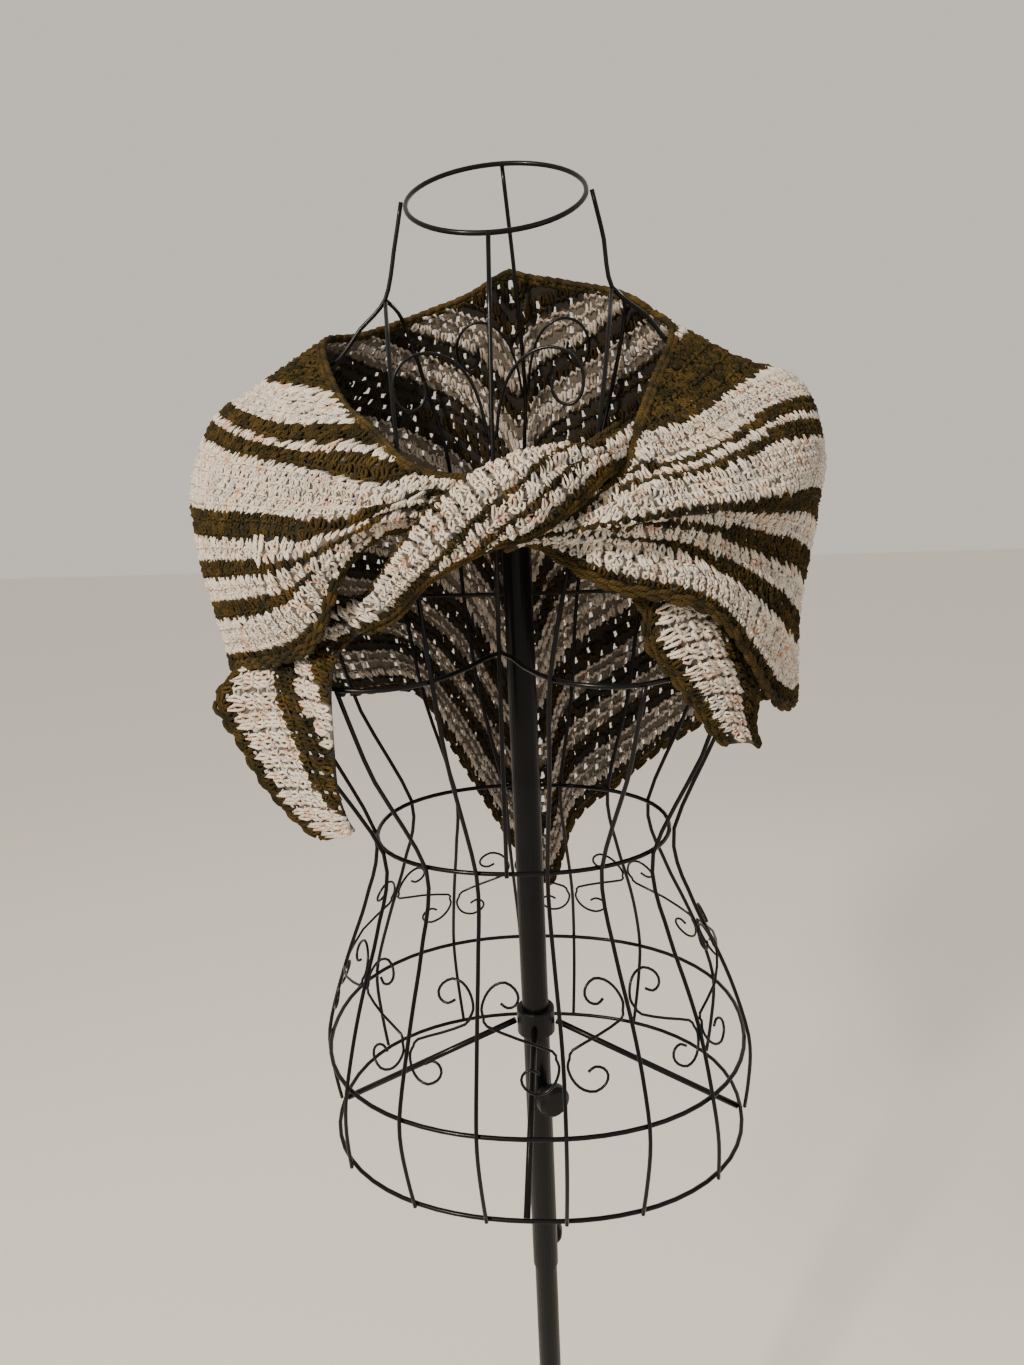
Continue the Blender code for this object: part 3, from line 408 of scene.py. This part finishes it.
stripes = {
    # rows of each colour in turn; the first is olive
    "shawl": (5, 3, 2, 3, 5, 4, 2, 1, 2, 5, 3, 2, 2, 2, 2, 3, 1),
    "band": (1, 3, 1, 1, 1, 1, 2),
    "leftTail": (1, 3, 3, 2, 3),
    "rightTail": (1, 3, 3),
}


def isCream(row, counts):
    return np.searchsorted(np.cumsum(counts), row, side="right") % 2 == 1


def sectionsAt(stations, along, across):
    # Sections read along the stations, each sampled evenly by its length.
    lines = splineAt([row[2:] for row in stations], along) * mm
    points = np.empty((len(along), across, 3))
    for i, section in enumerate(lines):
        fine = splineAt(section, np.linspace(0, len(section) - 1, 64))
        run = np.concatenate([[0], np.cumsum(np.linalg.norm(np.diff(fine, axis=0), axis=1))])
        want = np.linspace(0, run[-1], across)
        points[i] = np.stack([np.interp(want, run, fine[:, k]) for k in range(3)], axis=1)
    return points


def rowsAt(stations, rows, along, across, first):
    # Row number at the same samples: read by length across each named station, then splined along them.
    table, v = [], np.linspace(0, 1, across)
    for station in stations:
        if station[0] not in rows:
            continue
        numbers = rows[station[0]]
        if len(numbers) == 2:
            table.append(np.interp(v, [0, 1], numbers))
            continue
        knots = np.linspace(0, len(numbers) - 1, 64)
        fine = splineAt(np.array(station[2:], float), knots)
        run = np.concatenate([[0], np.cumsum(np.linalg.norm(np.diff(fine, axis=0), axis=1))])
        table.append(np.interp(v * run[-1], run, splineAt(np.array(numbers, float), knots)))
    at = splineAt(np.array(table), along - first)
    return np.maximum.accumulate(at + 1e-5 * np.arange(across), axis=1)


def clothSurface(stations, rows, first, last, perStation, across, creases, fine):
    # Middle of the cloth = section point + normal * (pleats + creases - wall / 2), where the pleats are
    # -depth * cos(2 pi n v) * sin(pi v)^0.5 and a crease is a bell across v that fades from its station.
    names = [row[0] for row in stations]
    start, end = names.index(first), names.index(last)
    along = np.linspace(start, end, perStation * (end - start) + 1)
    top = len(stations) - 1
    points = sectionsAt(stations, along, across)
    reach = 0.35   # of a station, on each side, for the direction along the cloth
    ahead = sectionsAt(stations, np.clip(along + reach, 0, top), across)
    behind = sectionsAt(stations, np.clip(along - reach, 0, top), across)
    normal = unitRows(np.cross(ahead - behind, np.gradient(points, axis=1)))
    v = np.linspace(0, 1, across)
    pleat = splineAt([[row[1]] for row in stations], along)[:, 0] * mm
    wave = -np.cos(2 * math.pi * clothLook["pleats"] * v) * np.sin(math.pi * v) ** 0.5
    lift = pleat[:, None] * wave[None]
    for crease in creases:
        at = names.index(crease["near"])
        fade = np.exp(-((along - at) / crease["reach"]) ** 2)
        middle = crease["v"] + crease.get("lean", 0.0) * (along - at)
        bell = np.exp(-((v[None] - middle[:, None]) / crease["wide"]) ** 2)
        lift = lift + crease["depthMm"] * mm * fade[:, None] * bell
    points = points + normal * (lift - 0.5 * clothLook["wall"])[..., None]
    firstNamed = min(names.index(name) for name in rows)
    row = rowsAt(stations, rows, along, across, firstNamed)
    return {"points": points, "normal": normal, "row": row, "fine": fine}


def lookUp(grid, i, j):
    # value between the four grid points round (i, j)
    i = np.clip(i, 0, grid.shape[0] - 1.001)
    j = np.clip(j, 0, grid.shape[1] - 1.001)
    i0, j0 = i.astype(int), j.astype(int)
    fi, fj = i - i0, j - j0
    if grid.ndim == 3:
        fi, fj = fi[..., None], fj[..., None]
    low = grid[i0, j0] * (1 - fj) + grid[i0, j0 + 1] * fj
    high = grid[i0 + 1, j0] * (1 - fj) + grid[i0 + 1, j0 + 1] * fj
    return low * (1 - fi) + high * fi


rowStep = 0.25
mostRows = 72        # room for the finer rows of the widest stretch
shawlRowCount = 47   # rows of the stripe order from neck to hem
rowLevels = np.arange(-1.0, mostRows + 1 + rowStep, rowStep)


def rowTable(surface):
    # for each row level and each section, the place across the cloth, and whether the row is there at all
    row = surface["row"] * surface["fine"]
    count, across = row.shape
    place = np.empty((len(rowLevels), count))
    inside = np.empty((len(rowLevels), count), bool)
    for s in range(count):
        numbers = row[s] if row[s, -1] > row[s, 0] else row[s, ::-1]
        spots = np.arange(across) if row[s, -1] > row[s, 0] else np.arange(across)[::-1]
        place[:, s] = np.interp(rowLevels, numbers, spots)
        inside[:, s] = (rowLevels >= numbers[0]) & (rowLevels <= numbers[-1])
    return place, inside


# One stitch, seen from the face: along the row in mm, down the cloth in rows, and out of the cloth in mm.
# It is a long loop closed at both ends, and the bar is the strand that joins it to the next one.
post = np.array([(-0.5, 0.12, 1.3), (-1.65, 0.34, 2.0), (-1.35, 0.70, 1.2), (0.0, 0.99, 0.5),
                 (1.35, 0.68, 1.2), (1.65, 0.32, 2.0), (0.4, 0.08, 1.7)])
bar = np.array([(-3.4, 0.22, -0.2), (-1.1, -0.10, 1.5), (1.1, 0.14, 1.9), (3.3, 0.04, -0.2)])


def stitches(surface, counts, seed, bothSides):
    # Stitches laid along every row at an even spacing. Each point of one = surface at (section, row level)
    # + normal * its height. Where rows crowd together, only every second or fourth one is laid. A cloth seen
    # from both sides has its rows raised on each in turn; otherwise odd rows are raised less than even ones.
    rng = np.random.default_rng(seed)
    place, inside = rowTable(surface)
    points, normal = surface["points"], surface["normal"]
    count = points.shape[0]
    sections = np.arange(count, dtype=float)
    found = []
    fine = surface["fine"]
    laid = np.zeros((mostRows, count))
    for row in range(int(shawlRowCount * fine)):
        middle = int(round((row + 0.5 - rowLevels[0]) / rowStep))
        here = lookUp(points, sections, place[middle])
        upper = lookUp(points, sections, place[middle - 2])
        lower = lookUp(points, sections, place[middle + 2])
        pitch = np.linalg.norm(lower - upper, axis=1) / mm
        step = np.where(pitch > 5.0 / fine, 1, np.where(pitch > 2.5 / fine, 2, 4))
        size = np.clip(pitch * step * fine / clothLook["rowMm"], 0.62, 1.12)
        ahead = np.linalg.norm(np.diff(here, axis=0), axis=1) / mm
        run = np.concatenate([[0], np.cumsum(ahead)])
        spacing = clothLook["stitchMm"] * size ** 0.6
        number = np.concatenate([[0], np.cumsum(ahead / (0.5 * (spacing[1:] + spacing[:-1])))])
        number = number - np.interp((count - 1) / 2, sections, number)
        laid[row] = number
        whole = np.arange(math.ceil(number[0]), math.floor(number[-1])) + 0.5
        if len(whole) == 0:
            continue
        s = np.interp(whole, number, sections)
        near = np.clip(np.round(s).astype(int), 0, count - 1)
        keep = inside[middle, near] & (row % step[near] == 0)
        slope = np.interp(s, sections, 1 / np.maximum(np.gradient(run), 1e-6))
        found.append(np.stack([np.full(len(s), row), whole, s, slope, size[near], step[near]], 1)[keep])
    surface["laid"] = laid
    table = np.concatenate(found)
    row, whole, s, slope, size, step = table.T
    cream = isCream((row + 0.5) / fine, counts)
    changes = cream != isCream((row + 0.5 - step) / fine, counts)
    tall = changes & (rng.random(len(row)) < 0.75)
    face = np.where((row % 2 == 0) | changes, 1.0, -1.0 if bothSides else 0.45)
    barFace = -face if bothSides else np.where(changes, 0.2, np.where(row % 2 == 0, 0.75, 1.1))
    lean = np.where(row % 2 == 0, 1.0, -1.0) * 0.9 + rng.normal(0, 1.1, len(row))
    toPair = np.where(np.floor(whole) % 2 == 0, 0.6, -0.6) * size
    plump = rng.uniform(0.85, 1.2, len(row))
    shift = rng.normal(0, 0.07, len(row))
    drop = np.where(rng.random(len(row)) < 0.4, rng.uniform(0.1, 0.3, len(row)), 0.0)

    def bend(shape, outward, rise):
        along = shape[None, :, 0] * size[:, None] * plump[:, None] + toPair[:, None]
        along = along + rng.normal(0, 0.36, along.shape)
        along = along - lean[:, None] * (shape[None, :, 1] - 0.5)
        down = shape[None, :, 1] + np.where(shape[None, :, 1] < 0.25, rise[:, None], 0)
        down = down + shift[:, None] + np.where(shape[None, :, 1] > 0.9, drop[:, None], 0)
        down = down + rng.normal(0, 0.04, down.shape)
        out = shape[None, :, 2] * outward[:, None] * size[:, None] + rng.normal(0, 0.3, down.shape)
        section = s[:, None] + along * slope[:, None]
        level = (row[:, None] + down * step[:, None] - rowLevels[0]) / rowStep
        spot = lookUp(place, level, section)
        return lookUp(points, section, spot) + lookUp(normal, section, spot) * out[..., None] * mm

    # tall stitches reach up into the stripe above, the cream ones further
    posts = bend(post, face, np.where(tall & cream, -0.42 * fine, np.where(tall, -0.25, 0.0)))
    bars = bend(bar, barFace, np.zeros(len(row)))
    level = (row + 0.5 - rowLevels[0]) / rowStep
    outward = lookUp(normal, s, lookUp(place, level, s))
    return {"posts": posts, "bars": bars, "cream": cream, "size": size, "normal": outward,
            "count": len(row), "postsSide": face, "barsSide": barFace,
            "thick": rng.uniform(0.9, 1.14, len(row)), "dye": rng.random(len(row))}


groundLook = {
    "holeWide": 0.30,    # half width of an opening, in stitches
    "holeTall": 0.27,    # half height, in rows
    "openShare": 0.8,    # share of the pairs of stitches with an opening between them
    "leastMm": 6.0,      # rows closer than this hide their openings
}


def groundSheet(name, surface, counts):
    # The thin ground of the stitches, with openings between the pairs of stitches in a row: a cell is open
    # where |stitch mod 2| and |row mod 1 - 0.55| at its middle are both small and its pair is drawn as open.
    points, row = surface["points"], surface["row"]
    rows, columns = points.shape[:2]
    index = np.arange(rows * columns).reshape(rows, columns)
    quads = np.stack([index[:-1, :-1], index[1:, :-1], index[1:, 1:], index[:-1, 1:]], -1).reshape(-1, 4)
    cellRow = 0.25 * (row[:-1, :-1] + row[1:, :-1] + row[1:, 1:] + row[:-1, 1:]) * surface["fine"]
    section = np.broadcast_to((np.arange(rows - 1) + 0.5)[:, None], cellRow.shape)
    stitch = lookUp(surface["laid"], np.floor(cellRow), section)
    across = np.minimum(stitch % 2, 2 - stitch % 2)
    down = np.abs(cellRow % 1 - 0.55)
    pitch = np.linalg.norm(np.gradient(points, axis=1), axis=2) / mm
    pitch = pitch / np.maximum(np.abs(np.gradient(row, axis=1)), 1e-6)
    isOpen = (across < groundLook["holeWide"]) & (down < groundLook["holeTall"])
    isOpen &= pitch[:-1, :-1] > groundLook["leastMm"]
    drawn = np.random.default_rng(7).random((mostRows, 400))
    rowIndex = np.clip(np.floor(cellRow), 0, mostRows - 1).astype(int)
    pairIndex = np.round(stitch / 2).astype(int) % drawn.shape[1]
    isOpen &= drawn[rowIndex, pairIndex] < groundLook["openShare"]
    isOpen[[0, -1]] = False
    isOpen[:, [0, -1]] = False
    cream = isCream(np.floor(row), counts).astype(float)
    piece = meshFrom(name, points.reshape(-1, 3), [quads[~isOpen.ravel()]], clothGroundShade, None,
                     {"stripe": cream.ravel()})
    thick = piece.modifiers.new("thickness", "SOLIDIFY")
    thick.thickness = clothLook["ground"]
    thick.offset = 0.0
    thick.use_even_offset = False
    return piece


chainLook = {"linkMm": 7.2, "radiusMm": 1.75, "strayMm": 0.15}
# one link: along the edge, away from it and out of the cloth, in mm
link = np.array([(-1.5, -1.2, -0.3), (2.2, -1.9, 0.9), (6.4, -1.5, 0.7), (8.6, 0.0, 0.3),
                 (6.4, 1.5, 0.7), (2.2, 1.9, 0.9), (-1.5, 1.2, -0.3)])


def edgeChain(name, surface, side, material, seed, radiusMm, scallopMm):
    # A crocheted chain along an edge: each link is two legs that part and meet inside the next link, and
    # each point = edge + outward * away + normal * lift. With scallops, every second link stands further out.
    rng = np.random.default_rng(seed)
    grid, normal = surface["points"], surface["normal"]
    edge, inner = (grid[:, 0], grid[:, 4]) if side == 0 else (grid[:, -1], grid[:, -5])
    up = normal[:, 0] if side == 0 else normal[:, -1]
    out = unitRows(edge - inner)
    run = np.concatenate([[0], np.cumsum(np.linalg.norm(np.diff(edge, axis=0), axis=1))]) / mm
    starts = np.arange(0, run[-1] - chainLook["linkMm"], chainLook["linkMm"])
    at = starts[:, None] + link[None, :, 0] + rng.normal(0, 0.2, (len(starts), len(link)))
    raised = np.where(np.arange(len(starts)) % 2 == 0, scallopMm, 0.0)[:, None]
    away = link[None, :, 1] + 0.6 + raised + rng.normal(0, chainLook["strayMm"], at.shape)
    lift = link[None, :, 2] + rng.normal(0, chainLook["strayMm"], at.shape)

    def read(values, where):
        return np.stack([np.interp(where, run, values[:, k]) for k in range(3)], -1)

    outward = unitRows(read(out, at)) * away[..., None] * mm
    paths = read(edge, at) + outward + unitRows(read(up, at)) * lift[..., None] * mm
    start = unitRows(read(up, at[:, 0]))
    return tubes(name, paths, radiusMm * mm, start, 5, material, rng.random(len(starts)))


clothPieces = [
    {"name": "shawl_back_panel", "node": "shawl_back", "bothSides": True,
     "stations": shawlStations, "rows": shawlRows, "stripes": "shawl",
     "first": "L3", "last": "R3", "perStation": 13, "across": 161,
     "flat": (0.37, 0.52), "area": 0.140, "held": "draped",
     "rests": ["upright_back_inner_left", "upright_back_inner_right"], "creases": []},
    {"name": "shawl_left_wing_panel", "node": "shawl_left_wing", "bothSides": False,
     "stations": shawlStations, "rows": shawlRows, "stripes": "shawl",
     "first": "L11", "last": "L3", "perStation": 15, "across": 101,
     "flat": (0.45, 0.32), "area": 0.098, "held": "gathered",
     "rests": ["upright_side_left"], "creases": [
         {"near": "L7", "v": 0.42, "wide": 0.06, "reach": 1.3, "depthMm": -5.0, "lean": -0.02},
         {"near": "L7", "v": 0.24, "wide": 0.05, "reach": 1.1, "depthMm": -2.4},
         {"near": "L7", "v": 0.66, "wide": 0.05, "reach": 1.0, "depthMm": -2.6, "lean": 0.02},
         {"near": "L8", "v": 0.83, "wide": 0.05, "reach": 1.2, "depthMm": -2.4, "lean": 0.03},
     ]},
    {"name": "shawl_right_wing_panel", "node": "shawl_right_wing", "bothSides": False,
     "stations": shawlStations, "rows": shawlRows, "stripes": "shawl",
     "first": "R3", "last": "R9", "perStation": 15, "across": 101,
     "flat": (0.42, 0.33), "area": 0.092, "held": "gathered",
     "rests": ["upright_side_right"], "creases": [
         {"near": "R7", "v": 0.20, "wide": 0.05, "reach": 1.2, "depthMm": -2.6},
         {"near": "R6", "v": 0.56, "wide": 0.06, "reach": 1.4, "depthMm": -4.5, "lean": 0.02},
         {"near": "R7", "v": 0.78, "wide": 0.05, "reach": 1.2, "depthMm": -2.2},
     ]},
    {"name": "shawl_band_panel", "node": "shawl_over_band", "bothSides": False,
     "stations": leftEndStations, "rows": bandRows, "stripes": "band",
     "first": "B0", "last": "B8", "perStation": 10, "across": 33,
     "flat": (0.06, 0.26), "area": 0.0125, "held": "gathered",
     "rests": ["shawl_left_wing_panel", "shawl_right_wing_panel"], "creases": [
         {"near": "B3", "v": 0.45, "wide": 0.06, "reach": 1.8, "depthMm": -2.6},
         {"near": "B3", "v": 0.70, "wide": 0.05, "reach": 1.6, "depthMm": -2.2},
     ]},
    {"name": "shawl_left_tail_panel", "node": "shawl_left_tail", "bothSides": False,
     "stations": leftEndStations, "rows": leftTailRows, "stripes": "leftTail",
     "first": "B8", "last": "A8", "perStation": 10, "across": 41,
     "flat": (0.115, 0.25), "area": 0.0145, "held": "hung",
     "rests": ["shawl_left_wing_panel"], "creases": []},
    {"name": "shawl_right_tail_panel", "node": "shawl_right_tail", "bothSides": False,
     "stations": rightTailStations, "rows": rightTailRows, "stripes": "rightTail",
     "first": "C0", "last": "C7", "perStation": 10, "across": 33,
     "flat": (0.075, 0.21), "area": 0.0095, "held": "hung",
     "rests": ["shawl_right_wing_panel"], "creases": []},
]

# the yarn's sides and how thick it is drawn, on the back, seen from both sides, and elsewhere
yarnParts = {
    "posts": {"sides": 4, "slimBack": 1.0, "slim": 0.84},
    "bars": {"sides": 3, "slimBack": 1.05, "slim": 1.05},
}

# thickness along one strand, which tucks in at both ends: place, share
yarnTaper = ([0, 0.12, 0.5, 0.88, 1], [0.72, 1, 1.05, 1, 0.72])

surfaces = {}
panels = {}
for number, spec in enumerate(clothPieces):
    fine = 1.0 if spec["bothSides"] else clothLook["fineRows"]
    surface = clothSurface(spec["stations"], spec["rows"], spec["first"], spec["last"],
                           spec["perStation"], spec["across"], spec["creases"], fine)
    surfaces[spec["name"]] = surface
    counts = stripes[spec["stripes"]]
    made = stitches(surface, counts, 40 + number, spec["bothSides"])
    panel = groundSheet(spec["name"], surface, counts)
    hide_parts(spec["node"])
    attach(panel, "form")
    short = spec["name"].replace("_panel", "")
    yarns = []
    for part, look in yarnParts.items():
        slim = look["slimBack"] if spec["bothSides"] else look["slim"]
        # stitches raised toward the hollow take the darker copies of the yarns, painted shade
        inner = made[part + "Side"] < 0
        for colour, material, chosen in (("olive", oliveYarn, ~made["cream"] & ~inner),
                                         ("cream", creamYarn, made["cream"] & ~inner),
                                         ("olive_inner_shade", oliveShadeCopy, ~made["cream"] & inner),
                                         ("cream_inner_shade", creamShadeCopy, made["cream"] & inner)):
            if not chosen.any():
                continue
            paths = made[part][chosen]
            share = (made["size"] ** 0.8 * made["thick"])[chosen][:, None]
            radius = 0.5 * clothLook["yarnMm"] * mm * slim * share
            rings = np.interp(np.linspace(0, 1, paths.shape[1]), *yarnTaper)
            yarn = tubes(f"{short}_{colour}_{part}", paths, radius * rings[None], made["normal"][chosen],
                         look["sides"], material, made["dye"][chosen])
            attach(yarn, "form")
            yarns.append(yarn)
    panels[spec["name"]] = (panel, yarns)
    print(spec["name"], "stitches", made["count"])

# the thick chain along the neck edge, and the chains, most of them scalloped, along the other edges
chains = [
    {"name": "neck_chain_back", "panel": "shawl_back_panel", "side": 0, "radius": 2.2},
    {"name": "neck_chain_left", "panel": "shawl_left_wing_panel", "side": 0, "radius": 2.1},
    {"name": "neck_chain_right", "panel": "shawl_right_wing_panel", "side": 0, "radius": 2.2},
    {"name": "hem_chain_back", "panel": "shawl_back_panel", "side": 1, "scallop": 3.4},
    {"name": "hem_chain_left", "panel": "shawl_left_wing_panel", "side": 1, "scallop": 1.8},
    {"name": "hem_chain_right", "panel": "shawl_right_wing_panel", "side": 1, "scallop": 1.8},
    {"name": "band_chain_lower", "panel": "shawl_band_panel", "side": 1, "radius": 1.6},
    {"name": "left_tail_chain_outer", "panel": "shawl_left_tail_panel", "side": 0, "scallop": 2.6},
    {"name": "right_tail_chain_left", "panel": "shawl_right_tail_panel", "side": 0, "scallop": 1.8},
    {"name": "right_tail_chain_right", "panel": "shawl_right_tail_panel", "side": 1, "radius": 1.9},
]
for number, chain in enumerate(chains):
    piece = edgeChain(chain["name"], surfaces[chain["panel"]], chain["side"], oliveYarn, 90 + number,
                      chain.get("radius", chainLook["radiusMm"]), chain.get("scallop", 0.0))
    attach(piece, "form")
    panels[chain["panel"]][1].append(piece)

for spec in clothPieces:
    panel, yarns = panels[spec["name"]]
print("cloth made")


# The wire form: round wires along the middle of each modelled one, and their radii by the node's kind.
wireLook = {"sides": 10, "smooth": 2, "sectionReach": 2.6, "askew": (0.3, 0.5, 0.8)}
wireRadii = {"ring": 0.00165, "upright": 0.0015, "centre": 0.0015, "scroll": 0.0010, "strut": 0.0025}


def wireMiddle(name, radius):
    # The corners of one section of a modelled wire lie within about its width of each other, and their
    # mean is its middle. Two middles are neighbours where a triangle of the wire joins their corners.
    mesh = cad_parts[name].data
    corners = np.empty(len(mesh.vertices) * 3)
    mesh.vertices.foreach_get("co", corners)
    triangles = np.empty(len(mesh.loops), np.int32)
    mesh.loops.foreach_get("vertex_index", triangles)
    corners, merged = np.unique(np.round(corners.reshape(-1, 3), 5), axis=0, return_inverse=True)
    near = np.linalg.norm(corners[:, None] - corners[None], axis=2) < wireLook["sectionReach"] * radius
    _, section = np.unique(near.argmax(1), return_inverse=True)
    totals = np.stack([np.bincount(section, corners[:, k]) for k in range(3)], 1)
    middles = totals / np.bincount(section)[:, None]
    joined = section[merged.ravel()[triangles]].reshape(-1, 3)
    pairs = np.concatenate([joined[:, [0, 1]], joined[:, [1, 2]], joined[:, [2, 0]]])
    links = {i: set() for i in range(len(middles))}
    for a, b in np.unique(pairs[pairs[:, 0] != pairs[:, 1]], axis=0).tolist():
        links[a].add(b)
    order = [next((i for i in links if len(links[i]) == 1), 0)]
    while True:
        onward = [j for j in sorted(links[order[-1]]) if j not in order]
        if not onward:
            return middles[order]
        order.append(onward[0])


wireCount = 0
for name in sorted(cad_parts):
    kind = next((key for key in wireRadii if key in name), None)
    if kind is None:
        continue
    radius = wireRadii[kind]
    path = wireMiddle(name, radius)
    closed = kind == "ring"
    if closed:
        held = np.concatenate([path[-2:], path, path[:2]])
        at = np.linspace(2, len(path) + 2, wireLook["smooth"] * len(path), endpoint=False)
        line = splineAt(held, at)
    else:
        line = splineAt(path, np.linspace(0, len(path) - 1, wireLook["smooth"] * (len(path) - 1) + 1))
    start = np.cross(line[1] - line[0], wireLook["askew"])[None]
    wire = tubes(name + "_wire", line[None], radius, start, wireLook["sides"], wirePaint, closed=closed)
    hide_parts(name)
    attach(wire, "form")
    wireCount += 1
print("wires made:", wireCount)

for name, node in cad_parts.items():
    if name.startswith("shawl") or any(key in name for key in wireRadii):
        continue
    node.data.materials.clear()
    node.data.materials.append(knobPlastic if name.startswith("knob") else polePaint)


floorLook = {"half": 9.0, "grainPerMetre": 90.0}


def plainFloor():
    # Matt pale floor with a faint grain.
    material, tree, shader = newMaterial("pale_matt_floor")
    place = addNode(tree, "ShaderNodeTexCoord")
    noise = addNode(tree, "ShaderNodeTexNoise", None, {
        "Vector": place.outputs["Object"], "Scale": floorLook["grainPerMetre"], "Detail": 4.0})
    tone = addNode(tree, "ShaderNodeMix", {"data_type": "RGBA"}, {
        0: noise.outputs["Fac"], 6: linear("#f1ebe2"), 7: linear("#f5f0e8")})
    tree.links.new(tone.outputs[2], shader.inputs["Base Color"])
    shader.inputs["Roughness"].default_value = 0.85
    half = floorLook["half"]
    corners = np.array([(-half, -half, 0), (half, -half, 0), (half, half, 0), (-half, half, 0)], float)
    floor = meshFrom("floor", corners, [np.array([[0, 1, 2, 3]])], material)


plainFloor()
world = bpy.data.worlds.new("soft_room")
bpy.context.scene.world = world
world.use_nodes = True
world.node_tree.nodes["Background"].inputs["Color"].default_value = linear("#e0d8ce")
world.node_tree.nodes["Background"].inputs["Strength"].default_value = 1.0

# places and aims in metres, sizes in metres, power in watts
lamps = [
    {"name": "key", "at": (-1.1, -1.7, 2.35), "aim": (0, 0, 1.18),
     "size": 0.25, "power": 72, "colour": "#fff1e2"},
    {"name": "fill", "at": (1.9, -1.5, 1.5), "aim": (0, 0, 1.15),
     "size": 1.4, "power": 6, "colour": "#eef2ff"},
    {"name": "back", "at": (0.5, 2.2, 2.0), "aim": (0, 0, 1.1),
     "size": 1.6, "power": 6, "colour": "#ffffff"},
]
for lamp in lamps:
    light = bpy.data.lights.new(lamp["name"], "AREA")
    light.energy = lamp["power"]
    light.size = lamp["size"]
    light.color = linear(lamp["colour"])[:3]
    holder = bpy.data.objects.new(lamp["name"], light)
    holder.location = lamp["at"]
    toward = np.array(lamp["aim"]) - np.array(lamp["at"])
    holder.rotation_euler = (math.atan2(math.hypot(toward[0], toward[1]), -toward[2]), 0,
                             math.atan2(toward[1], toward[0]) - math.pi / 2)
    bpy.context.scene.collection.objects.link(holder)

# The camera's place as fitted to the photograph, in metres and degrees, and its lens in pixels.
view = {"distance": 0.728, "height": 1.292, "azimuth": 5.4, "pitch": 14.13, "roll": 2.52, "aimLeft": 0.57,
        "focalPixels": 1025.0, "tallPixels": 1365.0}
eye = np.array([view["distance"] * math.sin(math.radians(view["azimuth"])),
                -view["distance"] * math.cos(math.radians(view["azimuth"])), view["height"]])
heading = math.atan2(-eye[1], -eye[0]) + math.radians(view["aimLeft"])
pitch, roll = math.radians(view["pitch"]), math.radians(view["roll"])
level = math.cos(pitch)
forward = np.array([math.cos(heading) * level, math.sin(heading) * level, -math.sin(pitch)])
right = unitRows(np.cross(forward, [0, 0, 1.0]))
above = np.cross(right, forward)
rightward = right * math.cos(roll) - above * math.sin(roll)
upward = above * math.cos(roll) + right * math.sin(roll)
camera = bpy.data.objects.new("camera", bpy.data.cameras.new("camera"))
bpy.context.scene.collection.objects.link(camera)
turned = np.eye(4)
turned[:3, 0], turned[:3, 1], turned[:3, 2], turned[:3, 3] = rightward, upward, -forward, eye
camera.matrix_world = Matrix(turned.tolist())
camera.data.sensor_width = 36.0
camera.data.lens = 36.0 * view["focalPixels"] / view["tallPixels"]
camera.data.clip_start = 0.02
bpy.context.scene.camera = camera
